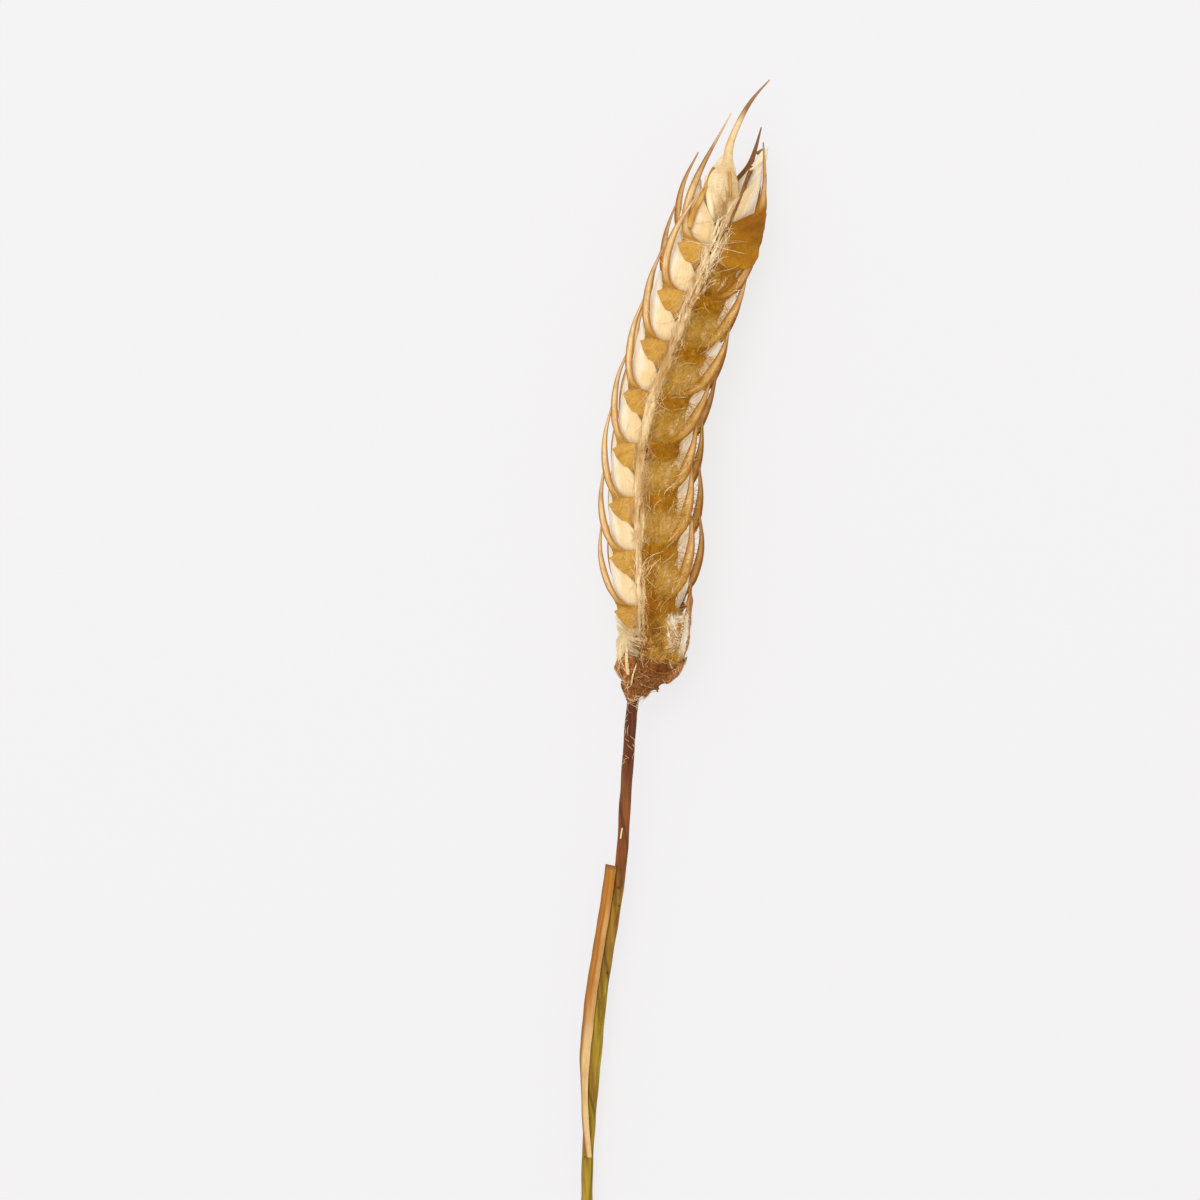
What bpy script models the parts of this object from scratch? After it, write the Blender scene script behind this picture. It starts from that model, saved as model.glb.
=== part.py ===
"""A dried wheat ear on its own cut stem, lying on its back on a flat surface.

The stem and the rachis inside the ear are one grown piece. Spikelets stand along the rachis in two
rows, one on its right and one on its left. A spikelet is one pale floret between a front and a back
glume, and each glume is a thin husk with a tooth on its outer edge and a long awn.

+Y runs from the cut end to the tip of the ear, +X is the ear's right side, and +Z is its front,
which faces up. The origin is on the surface, under the middle of the whole ear.
Sizes below are millimetres, and angles are degrees."""

import math

import bmesh
import bpy
import numpy as np
from mathutils import Vector

MM = 0.001

# The middle line of the stem and the ear, from the cut end to past the tip
STEM_AND_EAR_ROUTE = (
    (-15.85, -100.5, 1.05),
    (-15.65, -90.1, 1.6),
    (-15.35, -81.4, 2.1),
    (-14.55, -72.7, 2.6),
    (-13.65, -64.1, 3.05),
    (-12.75, -55.4, 3.5),
    (-11.35, -46.8, 3.95),
    (-9.85, -38.2, 4.4),
    (-8.65, -29.6, 4.85),
    (-8.05, -21.1, 5.3),
    (-7.35, -12.5, 5.75),
    (-6.45, -4.0, 6.2),
    (-4.85, 2.0, 6.6),
    (-3.45, 7.9, 6.9),
    (-3.25, 19.8, 7.1),
    (-3.35, 29.9, 7.1),
    (-2.95, 38.4, 7.1),
    (-1.45, 46.9, 7.1),
    (1.15, 55.3, 7.1),
    (3.85, 63.7, 7.0),
    (6.65, 72.1, 6.8),
    (8.95, 80.5, 6.6),
    (11.55, 88.9, 6.4),
    (14.05, 97.3, 6.2),
    (16.55, 105.7, 6.0),
)
COLLAR_POINT = 11
ROUTE_STEPS = 24

STEM_RADIUS = 1.0
RACHIS_LENGTH = 79.0
# The rachis is thinner than the stem: (place, radius)
RACHIS_RADIUS = ((0.0, STEM_RADIUS), (4.5, 0.6), (40.0, 0.55), (79.0, 0.45))
CULM_STEP = 3.2

# Where along the ear each spikelet stands
STATIONS = {
    "right": (12.2, 21.3, 30.0, 38.7, 47.4, 56.1, 64.8, 73.6),
    "left": (11.1, 20.3, 29.2, 38.1, 46.9, 55.7, 64.4, 73.1),
}
TERMINAL_STATION = 80.0
BASAL_STATION = 4.4
BASAL_LENGTH = 0.62
BASAL_SIZES = {"right": 1.0, "left": 0.8}
# A glume's body ends and its awn starts here
AWN_START = 6.6
# Pieces near the tip are drawn out: how much longer the body is, how much longer the awn is, and
# how far the awn's tip leans in and rises
DRAWN_OUT = {
    "right_back_glume_8": (1.45, 0.9, 0.8, 0.0),
    "right_floret_8": (1.45, 1.45, 0.0, 0.0),
    "left_front_glume_7": (1.0, 1.35, 2.4, 2.7),
    "left_front_glume_8": (1.0, 1.55, 2.6, 0.0),
}

HUSK_THICKNESS = 0.35
LEAF_THICKNESS = 0.3
ANGLES_ROUND_A_FLORET = 10
STEPS_ALONG_A_FLORET = 10

# How wide the ear is along its length, as a share of its widest: (place, share)
EAR_GIRTH = (
    (-10.0, 0.45),
    (0.0, 0.52),
    (6.0, 0.68),
    (12.0, 0.82),
    (20.0, 0.95),
    (26.0, 1.0),
    (38.0, 0.98),
    (48.0, 0.95),
    (58.0, 0.96),
    (72.0, 0.95),
    (84.0, 0.88),
    (96.0, 0.74),
    (112.0, 0.6),
)
# How far the ear is twisted about its own length towards +X: (place, angle)
EAR_TWIST = (
    (0.0, 0.0),
    (50.0, 0.0),
    (62.0, 7.0),
    (69.0, 10.0),
    (80.0, 19.0),
    (90.0, 28.0),
    (112.0, 32.0),
)

# A floret's section along its length: (place, inner side, outer side, half depth)
FLORET_SECTIONS = (
    (0.3, 1.5, 1.9, 0.6),
    (1.9, 1.35, 3.8, 3.6),
    (3.5, 1.3, 5.1, 5.2),
    (5.2, 1.3, 6.0, 6.0),
    (6.8, 1.4, 6.5, 6.2),
    (8.4, 1.9, 6.85, 6.2),
    (10.0, 3.5, 7.0, 6.0),
    (11.6, 4.95, 7.1, 5.7),
    (13.3, 6.15, 7.2, 5.2),
    (14.9, 6.85, 7.25, 4.6),
    (16.5, 7.15, 7.2, 4.0),
)
# A glume's rows from its foot to the tip of its awn. Each row runs from its inner end (outward,
# along, up) to its outer end (outward, along, up), and its middle is crowned by the last number
GLUME_ROWS = (
    (1.0, 0.0, 4.7, 1.9, 0.1, 4.6, 0.0),
    (1.0, 1.2, 5.5, 2.7, 1.5, 5.3, 0.25),
    (1.0, 2.6, 6.1, 4.1, 2.9, 5.1, 0.6),
    (1.0, 4.0, 6.45, 5.3, 4.1, 4.4, 0.9),
    (1.1, 5.5, 6.6, 5.5, 4.9, 4.2, 0.95),
    (3.0, 5.4, 6.3, 5.7, 5.6, 4.0, 0.5),
    (4.7, 6.2, 5.2, 6.15, 6.6, 3.9, 0.1),
    (6.1, 8.6, 3.9, 7.25, 8.7, 3.4, 0.0),
    (7.1, 12.0, 3.6, 8.1, 12.0, 3.2, 0.0),
    (7.7, 15.5, 3.1, 8.4, 15.5, 2.9, 0.0),
    (7.6, 20.0, 2.5, 8.0, 20.0, 2.4, 0.0),
)
# One glume is a broad panel
BROAD_GLUME = "right_front_glume_8"
LAST_RIGHT_ROWS = (
    (1.0, 0.0, 4.7, 1.9, 0.1, 4.6, 0.0),
    (1.0, 1.6, 5.5, 3.0, 1.8, 5.4, 0.25),
    (1.0, 3.4, 6.1, 6.8, 3.2, 4.6, 0.6),
    (1.0, 5.2, 6.45, 8.1, 5.0, 4.2, 0.9),
    (1.1, 7.0, 6.6, 8.75, 7.0, 4.0, 0.95),
    (2.2, 8.7, 6.5, 8.8, 9.2, 4.0, 0.9),
    (4.4, 10.7, 6.0, 8.7, 11.4, 4.0, 0.6),
    (6.6, 12.6, 4.8, 8.45, 13.8, 3.7, 0.2),
    (7.0, 16.0, 3.3, 7.8, 16.5, 3.0, 0.0),
    (6.4, 20.0, 3.5, 7.0, 20.0, 3.3, 0.0),
    (4.8, 25.2, 2.5, 5.2, 25.2, 2.4, 0.0),
)
TOOTH_ROW = 3
TOOTH_TIP = (6.1, 4.0, 4.4)
GLUME_COLUMNS = 3

# The terminal spikelet: its floret's (place, middle, half width, half depth)
TERMINAL_FLORET_SECTIONS = (
    (1.0, -0.2, 0.3, 0.3),
    (4.0, -0.2, 0.9, 2.0),
    (7.0, -0.6, 2.0, 2.8),
    (10.0, -0.9, 2.4, 3.0),
    (12.4, -1.2, 1.7, 2.2),
    (14.8, -1.5, 0.3, 0.3),
)
TERMINAL_FRONT_ROWS = (
    (-0.3, 2.5, 3.2, 0.4, 2.5, 3.2, 0.0),
    (-1.4, 4.2, 3.5, 1.05, 4.2, 3.5, 0.2),
    (-2.6, 6.5, 3.7, 1.0, 6.5, 3.6, 0.4),
    (-3.4, 8.6, 3.6, 0.7, 8.6, 3.5, 0.5),
    (-3.4, 10.5, 3.4, -0.1, 10.5, 3.5, 0.4),
    (-2.6, 12.4, 3.1, -1.1, 12.3, 3.3, 0.1),
    (-2.8, 15.6, 2.6, -1.9, 15.6, 2.6, 0.0),
    (-2.2, 20.0, 2.2, -1.5, 20.0, 2.2, 0.0),
    (-0.9, 24.0, 1.6, -0.4, 24.0, 1.6, 0.0),
    (1.3, 28.0, 0.8, 1.6, 28.0, 0.8, 0.0),
)
TERMINAL_BACK_ROWS = (
    (-0.4, 2.5, 3.2, 0.3, 2.5, 3.2, 0.0),
    (-1.4, 4.2, 3.5, 1.05, 4.2, 3.5, 0.2),
    (-2.2, 6.5, 3.7, 1.2, 6.5, 3.7, 0.4),
    (-1.4, 8.6, 3.7, 2.05, 8.6, 3.3, 0.4),
    (1.6, 10.2, 3.5, 3.1, 10.6, 3.0, 0.1),
    (2.9, 13.5, 1.7, 3.7, 13.5, 1.6, 0.0),
    (3.0, 17.0, 0.4, 3.5, 17.0, 0.4, 0.0),
    (2.8, 21.0, -0.6, 3.1, 21.0, -0.6, 0.0),
)

# The strand of twisted fibres between the two rows: (place, height over the rachis)
RIDGE_HEIGHT = ((9.8, 6.7), (70.0, 6.75), (80.0, 6.6), (88.0, 5.9))
RIDGE_RADIUS = 0.6
FRONT_RIDGE_END = 83.0
BACK_RIDGE_END = 80.0
BACK_RIDGE_DEEPER = 1.0
RIDGE_STEP = 3.4

# How far each collar bract stands off the middle line: (place, radius)
LOW_BRACT_FLARE = ((-0.7, 1.7), (1.0, 1.85), (2.8, 2.35))
RIGHT_BRACT_FLARE = ((3.2, 3.1), (3.8, 4.2), (4.6, 5.3), (5.6, 6.1), (7.5, 6.6), (10.5, 6.1))
LEFT_BRACT_FLARE = ((2.9, 2.8), (4.0, 3.4), (5.0, 4.0), (6.2, 4.2), (7.2, 4.2))
# Each bract: first and last place, first and last angle from the front, its rim's waves, its flare
COLLAR_BRACTS = {
    "collar_bract_low": (-0.7, 2.3, -165.0, 165.0, 0.5, LOW_BRACT_FLARE),
    "collar_bract_right": (3.4, 9.0, 30.0, 150.0, 0.6, RIGHT_BRACT_FLARE),
    "collar_bract_left": (2.9, 6.2, -188.0, -36.0, 0.5, LEFT_BRACT_FLARE),
}
BRACT_COLUMNS = 10
BRACT_ROWS = 4

# The leaf strip: (place from the cut end, sideways, up, width, tilt)
LEAF_ROWS = (
    (18.2, 0.45, 1.65, 0.5, -15.0),
    (24.3, -0.6, 1.6, 1.0, 20.0),
    (29.6, -1.3, 1.25, 1.3, 34.0),
    (34.9, -1.9, 0.8, 1.6, 15.0),
    (41.8, -1.85, 0.8, 1.8, 12.0),
    (54.0, -1.75, 0.85, 1.8, 16.0),
    (68.8, -1.7, 0.9, 1.85, 19.0),
)
LEAF_STEPS = 16

COLOURS = {
    "straw_husk": (0.50, 0.27, 0.06),
    "pale_floret": (0.92, 0.80, 0.55),
    "raffia_fibre": (0.74, 0.56, 0.33),
    "red_brown_bract": (0.24, 0.09, 0.035),
    "brown_stem": (0.20, 0.085, 0.035),
    "golden_leaf": (0.54, 0.29, 0.08),
}
ROUGHNESS = 0.8


def remove_everything():
    for thing in list(bpy.data.objects):
        bpy.data.objects.remove(thing, do_unlink=True)


def make_material(name):
    material = bpy.data.materials.new(name)
    material.use_nodes = True
    shader = material.node_tree.nodes["Principled BSDF"]
    shader.inputs["Base Color"].default_value = (*COLOURS[name], 1.0)
    shader.inputs["Roughness"].default_value = ROUGHNESS
    shader.inputs["Metallic"].default_value = 0.0
    return material


def read_table(table, place, column=1):
    """The value in a column at a place, on a smooth curve through the table's rows."""
    places = [row[0] for row in table]
    values = [row[column] for row in table]
    slopes = np.gradient(values, places)
    last = len(places) - 2
    i = min(max(int(np.searchsorted(places, place)) - 1, 0), last)
    step = places[i + 1] - places[i]
    f = min(max((place - places[i]) / step, 0.0), 1.0)
    rise = f * f * (3 - 2 * f)
    bend = f * (1 - f) * step * ((1 - f) * slopes[i] - f * slopes[i + 1])
    return float(values[i] + rise * (values[i + 1] - values[i]) + bend)


def smooth_route(points):
    """Close points on a Catmull-Rom curve, and the distance of the collar along it."""
    knots = [2 * points[0] - points[1], *points, 2 * points[-1] - points[-2]]
    curve = []
    for i in range(1, len(knots) - 2):
        a, b, c, d = knots[i - 1 : i + 3]
        for k in range(ROUTE_STEPS):
            f = k / ROUTE_STEPS
            curve.append(
                0.5
                * (
                    2 * b
                    + (c - a) * f
                    + (2 * a - 5 * b + 4 * c - d) * f**2
                    + (3 * b - a - 3 * c + d) * f**3
                )
            )
    curve.append(points[-1])
    return np.array(curve)


ROUTE = smooth_route(np.array(STEM_AND_EAR_ROUTE))
DISTANCES = np.concatenate(([0.0], np.cumsum(np.linalg.norm(np.diff(ROUTE, axis=0), axis=1))))
HEADINGS = np.gradient(ROUTE, DISTANCES, axis=0)
COLLAR_DISTANCE = DISTANCES[COLLAR_POINT * ROUTE_STEPS]


def route_frame(distance):
    """The middle line's point, and the directions to the right and to the front there."""
    centre = Vector([np.interp(distance, DISTANCES, ROUTE[:, k]) for k in range(3)])
    heading = Vector([np.interp(distance, DISTANCES, HEADINGS[:, k]) for k in range(3)]).normalized()
    right = heading.cross(Vector((0, 0, 1))).normalized()
    return centre, right, right.cross(heading)


def ear_point(along, right, front):
    """A point of the ear in metres, from real distances to its middle line."""
    centre, right_axis, front_axis = route_frame(COLLAR_DISTANCE + along)
    twist = math.radians(read_table(EAR_TWIST, along))
    turned_right = right_axis * math.cos(twist) - front_axis * math.sin(twist)
    turned_front = front_axis * math.cos(twist) + right_axis * math.sin(twist)
    return MM * (centre + right * turned_right + front * turned_front)


def row_point(along, right, front):
    """A point of a row's piece, whose sizes are those of the ear at its widest."""
    girth = read_table(EAR_GIRTH, along)
    return ear_point(along, right * girth, front * girth)


def add_object(name, bm, material):
    mesh = bpy.data.meshes.new(name)
    bm.to_mesh(mesh)
    bm.free()
    mesh.shade_smooth()
    mesh.set_sharp_from_angle(angle=math.radians(50))
    mesh.materials.append(make_material(material))
    thing = bpy.data.objects.new(name, mesh)
    bpy.context.scene.collection.objects.link(thing)
    return thing


def add_thickness(thing, thickness, offset=-1.0):
    solidify = thing.modifiers.new("thickness", "SOLIDIFY")
    solidify.thickness = thickness * MM
    solidify.offset = offset


def shaped_grid(columns, rows, place, turn_over=False):
    """A grid whose every vertex goes where place says, from its shares across and along."""
    bm = bmesh.new()
    bmesh.ops.create_grid(bm, x_segments=columns, y_segments=rows, size=0.5)
    for vertex in bm.verts:
        vertex.co = place(vertex.co.x + 0.5, vertex.co.y + 0.5)
    if turn_over:
        bmesh.ops.reverse_faces(bm, faces=bm.faces[:])
    return bm


def shaped_ball(around, along, place, turn_over=False):
    """A closed ball whose every vertex goes where place says, from its share along and angle."""
    bm = bmesh.new()
    bmesh.ops.create_uvsphere(bm, u_segments=around, v_segments=along, radius=1.0)
    for vertex in bm.verts:
        share = 1.0 - math.acos(max(-1.0, min(1.0, vertex.co.z))) / math.pi
        vertex.co = place(share, math.atan2(vertex.co.y, vertex.co.x))
    if turn_over:
        bmesh.ops.reverse_faces(bm, faces=bm.faces[:])
    return bm


def add_culm():
    """The stem from its cut end and the rachis up to the last spikelet, as one tapering rod."""
    end = COLLAR_DISTANCE + RACHIS_LENGTH
    count = int(end / CULM_STEP)
    curve = bpy.data.curves.new("culm", "CURVE")
    curve.dimensions = "3D"
    curve.bevel_depth = STEM_RADIUS * MM
    curve.bevel_resolution = 2
    curve.use_fill_caps = True
    spline = curve.splines.new("POLY")
    spline.points.add(count)
    for k, point in enumerate(spline.points):
        distance = end * k / count
        point.co = (*(MM * route_frame(distance)[0]), 1.0)
        point.radius = read_table(RACHIS_RADIUS, distance - COLLAR_DISTANCE) / STEM_RADIUS
    curve.materials.append(make_material("brown_stem"))
    bpy.context.scene.collection.objects.link(bpy.data.objects.new("culm", curve))


def add_ridge(name, side, last, deeper=0.0):
    """The strand of twisted fibres that lies between the two rows, on the front or the back."""
    first = RIDGE_HEIGHT[0][0]
    count = int((last - first) / RIDGE_STEP)
    curve = bpy.data.curves.new(name, "CURVE")
    curve.dimensions = "3D"
    curve.bevel_depth = RIDGE_RADIUS * MM
    curve.bevel_resolution = 1
    curve.use_fill_caps = True
    spline = curve.splines.new("POLY")
    spline.points.add(count)
    for k, point in enumerate(spline.points):
        along = first + (last - first) * k / count
        height = read_table(RIDGE_HEIGHT, along) - deeper
        point.co = (*row_point(along, 0.0, side * height), 1.0)
        point.radius = read_table(EAR_GIRTH, along)
    curve.materials.append(make_material("raffia_fibre"))
    bpy.context.scene.collection.objects.link(bpy.data.objects.new(name, curve))


def drawn_out(name, along, share):
    """How far along a row's piece a point lies, and how far it leans in and rises there."""
    body, awn, lean, rise = DRAWN_OUT.get(name, (1.0, 1.0, 0.0, 0.0))
    along = body * min(along, AWN_START) + awn * max(along - AWN_START, 0.0)
    late = max(0.0, (share - 0.7) / 0.3)
    return along, lean * late**2, rise * late


def add_floret(name, station, hand, size=1.0, length=1.0):
    """A pale floret: flat towards the rachis, round outside, and drawn out to a thin tip."""
    first, last = FLORET_SECTIONS[0][0], FLORET_SECTIONS[-1][0]

    def place(share, angle):
        along = first + share * (last - first)
        inner, outer, depth = (read_table(FLORET_SECTIONS, along, k) for k in (1, 2, 3))
        at_a_pole = share < 1e-4 or share > 1 - 1e-4
        widest = 0.0 if at_a_pole else depth * math.sqrt(max(0.0, 1 - (inner / outer) ** 2))
        front = widest * math.sin(angle)
        right = inner if math.cos(angle) < 0 else outer * math.sqrt(1 - (front / depth) ** 2)
        right = (inner + outer) / 2 if at_a_pole else right
        right = inner + (right - inner) * size
        along = drawn_out(name, along, share)[0] * length
        return row_point(station + along, hand * right, front * size)

    bm = shaped_ball(ANGLES_ROUND_A_FLORET, STEPS_ALONG_A_FLORET, place, turn_over=hand > 0)
    add_object(name, bm, "pale_floret")


def glume_place(name, rows, tooth, station, hand, side, to_point):
    """Where a glume's point goes, from its share across and its share of the rows."""

    def place(across, share):
        row = share * (len(rows) - 1)
        numbered = [(k, *values) for k, values in enumerate(rows)]
        ends = [read_table(numbered, row, k) for k in range(1, 8)]
        inner, outer, crown = ends[0:3], ends[3:6], ends[6]
        right, along, front = (a + across * (b - a) for a, b in zip(inner, outer))
        front += crown * 4 * across * (1 - across)
        if tooth and abs(row - TOOTH_ROW) < 0.1 and across > 0.99:
            right, along, front = TOOTH_TIP
        along, lean, rise = drawn_out(name, along, share)
        return to_point(station + along, hand * (right - lean), side * (front + rise))

    return place


def add_glume(name, rows, tooth, *layout):
    """A glume from its rows, whether it has a tooth, its station, hand, side and kind of points."""
    hand, side = layout[1:3]
    place = glume_place(name, rows, tooth, *layout)
    bm = shaped_grid(GLUME_COLUMNS, len(rows) - 1, place, turn_over=hand * side < 0)
    add_thickness(add_object(name, bm, "straw_husk"), HUSK_THICKNESS)


def add_row(row, hand):
    add_floret(f"{row}_basal_floret", BASAL_STATION, hand, BASAL_SIZES[row], BASAL_LENGTH)
    for number, station in enumerate(STATIONS[row], start=1):
        for face, side in (("front", 1), ("back", -1)):
            name = f"{row}_{face}_glume_{number}"
            broad = name == BROAD_GLUME
            rows = LAST_RIGHT_ROWS if broad else GLUME_ROWS
            add_glume(name, rows, not broad, station, hand, side, row_point)
        add_floret(f"{row}_floret_{number}", station, hand)


def add_terminal_spikelet():
    """The last spikelet, which stands across the end of the rachis."""
    first, last = TERMINAL_FLORET_SECTIONS[0][0], TERMINAL_FLORET_SECTIONS[-1][0]

    def floret_place(share, angle):
        along = first + share * (last - first)
        middle, width, depth = (read_table(TERMINAL_FLORET_SECTIONS, along, k) for k in (1, 2, 3))
        if share < 1e-4 or share > 1 - 1e-4:
            width = depth = 0.0
        right = middle + width * math.cos(angle)
        return ear_point(TERMINAL_STATION + along, right, depth * math.sin(angle))

    bm = shaped_ball(ANGLES_ROUND_A_FLORET, STEPS_ALONG_A_FLORET, floret_place, turn_over=True)
    add_object("terminal_floret", bm, "pale_floret")
    for face, rows, side in (("front", TERMINAL_FRONT_ROWS, 1), ("back", TERMINAL_BACK_ROWS, -1)):
        add_glume(f"terminal_{face}_glume", rows, False, TERMINAL_STATION, 1, side, ear_point)


def add_collar_bract(name):
    """A torn bract round the foot of the ear, with a wavy rim."""
    first, last, from_angle, to_angle, wave, flare = COLLAR_BRACTS[name]

    def place(across, share):
        angle = math.radians(from_angle + across * (to_angle - from_angle))
        rim = last + wave * math.sin(3.2 * angle + last)
        along = first + share * (rim - first)
        radius = read_table(flare, along)
        return ear_point(along, radius * math.sin(angle), radius * math.cos(angle))

    bm = shaped_grid(BRACT_COLUMNS, BRACT_ROWS, place)
    add_thickness(add_object(name, bm, "red_brown_bract"), HUSK_THICKNESS)


def add_leaf():
    """The dry strip of leaf beside the stem, cut square at its top and wrapped over the foot."""
    first, last = LEAF_ROWS[0][0], LEAF_ROWS[-1][0]

    def place(across, share):
        distance = first + share * (last - first)
        sideways, up, width, tilt = (read_table(LEAF_ROWS, distance, k) for k in (1, 2, 3, 4))
        reach = (across - 0.5) * width
        centre, right, front = route_frame(distance)
        sideways += reach * math.cos(math.radians(tilt))
        up += reach * math.sin(math.radians(tilt))
        return MM * (centre + sideways * right + up * front)

    bm = shaped_grid(2, LEAF_STEPS, place)
    add_thickness(add_object("leaf_sheath", bm, "golden_leaf"), LEAF_THICKNESS, offset=0.0)


remove_everything()
add_culm()
add_leaf()
for bract in COLLAR_BRACTS:
    add_collar_bract(bract)
add_row("right", 1)
add_row("left", -1)
add_terminal_spikelet()
add_ridge("front_fibre_ridge", 1, FRONT_RIDGE_END)
add_ridge("back_fibre_ridge", -1, BACK_RIDGE_END, BACK_RIDGE_DEEPER)
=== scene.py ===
"""A dried wheat ear on its cut stem, lying on its back, as it looks.

Every piece stands where its solid is, because it follows the same route and the same tables. Husks
are thin ribbed plates that end in folded awns, florets are pleated and papery, the stem is wrapped
in dry tape, and fine fibres lie over the whole ear.

+Y runs from the cut end to the tip, +X is the ear's right side, and +Z is its front.
Sizes below are millimetres, and angles are degrees."""

import math

import bmesh
import bpy
import numpy as np
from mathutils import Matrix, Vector
from mathutils.bvhtree import BVHTree


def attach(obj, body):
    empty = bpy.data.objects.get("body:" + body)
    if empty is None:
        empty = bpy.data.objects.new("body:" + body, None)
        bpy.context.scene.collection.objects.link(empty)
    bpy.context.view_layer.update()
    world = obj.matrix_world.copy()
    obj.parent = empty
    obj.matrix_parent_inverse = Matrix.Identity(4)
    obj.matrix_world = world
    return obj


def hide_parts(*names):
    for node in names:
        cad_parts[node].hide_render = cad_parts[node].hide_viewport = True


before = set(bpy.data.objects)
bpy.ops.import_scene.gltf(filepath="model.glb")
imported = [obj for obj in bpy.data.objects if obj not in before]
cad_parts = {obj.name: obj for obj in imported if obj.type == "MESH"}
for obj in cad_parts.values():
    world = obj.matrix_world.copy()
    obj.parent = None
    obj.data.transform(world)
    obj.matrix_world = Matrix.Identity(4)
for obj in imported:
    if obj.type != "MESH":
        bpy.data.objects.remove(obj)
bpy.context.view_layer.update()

MM = 0.001

# The layout, as the solids have it. The middle line of the stem and the ear:
STEM_AND_EAR_ROUTE = (
    (-15.85, -100.5, 1.05), (-15.65, -90.1, 1.6), (-15.35, -81.4, 2.1), (-14.55, -72.7, 2.6),
    (-13.65, -64.1, 3.05), (-12.75, -55.4, 3.5), (-11.35, -46.8, 3.95), (-9.85, -38.2, 4.4),
    (-8.65, -29.6, 4.85), (-8.05, -21.1, 5.3), (-7.35, -12.5, 5.75), (-6.45, -4, 6.2),
    (-4.85, 2, 6.6), (-3.45, 7.9, 6.9), (-3.25, 19.8, 7.1), (-3.35, 29.9, 7.1),
    (-2.95, 38.4, 7.1), (-1.45, 46.9, 7.1), (1.15, 55.3, 7.1), (3.85, 63.7, 7),
    (6.65, 72.1, 6.8), (8.95, 80.5, 6.6), (11.55, 88.9, 6.4), (14.05, 97.3, 6.2),
    (16.55, 105.7, 6),
)
COLLAR_POINT = 11
ROUTE_STEPS = 24

STEM_RADIUS = 1.0
RACHIS_LENGTH = 79.0
RACHIS_RADIUS = ((0, STEM_RADIUS), (4.5, 0.6), (40, 0.55), (79, 0.45))

# Where along the ear each spikelet stands
STATIONS = {
    "right": (12.2, 21.3, 30, 38.7, 47.4, 56.1, 64.8, 73.6),
    "left": (11.1, 20.3, 29.2, 38.1, 46.9, 55.7, 64.4, 73.1),
}
TERMINAL_STATION = 80.0
BASAL_STATION = 4.4
BASAL_LENGTH = 0.62
BASAL_SIZES = {"right": 1, "left": 0.8}
AWN_START = 6.6
# Pieces near the tip: how much longer the body is, how much longer the awn is, and how far its tip
# leans in and rises
DRAWN_OUT = {
    "right_back_glume_8": (1.45, 0.9, 0.8, 0),
    "right_floret_8": (1.45, 1.45, 0, 0),
    "left_front_glume_7": (1, 1.35, 2.4, 2.7),
    "left_front_glume_8": (1, 1.55, 2.6, 0),
}

# How wide the ear is along its length, as a share of its widest: (place, share)
EAR_GIRTH = (
    (-10, 0.45), (0, 0.52), (6, 0.68), (12, 0.82), (20, 0.95), (26, 1), (38, 0.98),
    (48, 0.95), (58, 0.96), (72, 0.95), (84, 0.88), (96, 0.74), (112, 0.6),
)
# How far the ear is twisted about its own length towards +X: (place, angle)
EAR_TWIST = (
    (0, 0), (50, 0), (62, 7), (69, 10), (80, 19), (90, 28), (112, 32),
)

# A floret's section along its length: (place, inner side, outer side, half depth)
FLORET_SECTIONS = (
    (0.3, 1.5, 1.9, 0.6), (1.9, 1.35, 3.8, 3.6), (3.5, 1.3, 5.1, 5.2), (5.2, 1.3, 6, 6),
    (6.8, 1.4, 6.5, 6.2), (8.4, 1.9, 6.85, 6.2), (10, 3.5, 7, 6), (11.6, 4.95, 7.1, 5.7),
    (13.3, 6.15, 7.2, 5.2), (14.9, 6.85, 7.25, 4.6), (16.5, 7.15, 7.2, 4),
)
# How much further in the papery skin reaches than the solid, under the next husk: (place, reach)
SKIN_UNDERLAP = (
    (0.3, 0), (1.9, 0.3), (3.5, 0.8), (7, 0.9), (8.4, 1.2), (10, 1.3),
    (12, 1.15), (14, 0.8), (16.5, 0.15),
)
# A husk's rows from its foot to the tip of its awn. Each row runs from its inner end (outward,
# along, up) to its outer end (outward, along, up), and its middle is crowned by the last number
HUSK_ROWS = (
    (1, 0, 4.7, 1.9, 0.1, 4.6, 0),
    (1, 1.2, 5.5, 2.7, 1.5, 5.3, 0.25),
    (1, 2.6, 6.1, 4.1, 2.9, 5.1, 0.6),
    (1, 4, 6.45, 5.3, 4.1, 4.4, 0.9),
    (1.1, 5.5, 6.6, 5.5, 4.9, 4.2, 0.95),
    (3, 5.4, 6.3, 5.7, 5.6, 4, 0.5),
    (4.7, 6.2, 5.2, 6.15, 6.6, 3.9, 0.1),
    (6.1, 8.6, 3.9, 7.25, 8.7, 3.4, 0),
    (7.1, 12, 3.6, 8.1, 12, 3.2, 0),
    (7.7, 15.5, 3.1, 8.4, 15.5, 2.9, 0),
    (7.6, 20, 2.5, 8, 20, 2.4, 0),
)
# One husk is a broad panel
BROAD_HUSK = "right_front_glume_8"
LAST_RIGHT_ROWS = (
    (1, 0, 4.7, 1.9, 0.1, 4.6, 0),
    (1, 1.6, 5.5, 3, 1.8, 5.4, 0.25),
    (1, 3.4, 6.1, 6.8, 3.2, 4.6, 0.6),
    (1, 5.2, 6.45, 8.1, 5, 4.2, 0.9),
    (1.1, 7, 6.6, 8.75, 7, 4, 0.95),
    (2.2, 8.7, 6.5, 8.8, 9.2, 4, 0.9),
    (4.4, 10.7, 6, 8.7, 11.4, 4, 0.6),
    (6.6, 12.6, 4.8, 8.45, 13.8, 3.7, 0.2),
    (7, 16, 3.3, 7.8, 16.5, 3, 0),
    (6.4, 20, 3.5, 7, 20, 3.3, 0),
    (4.8, 25.2, 2.5, 5.2, 25.2, 2.4, 0),
)
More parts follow.
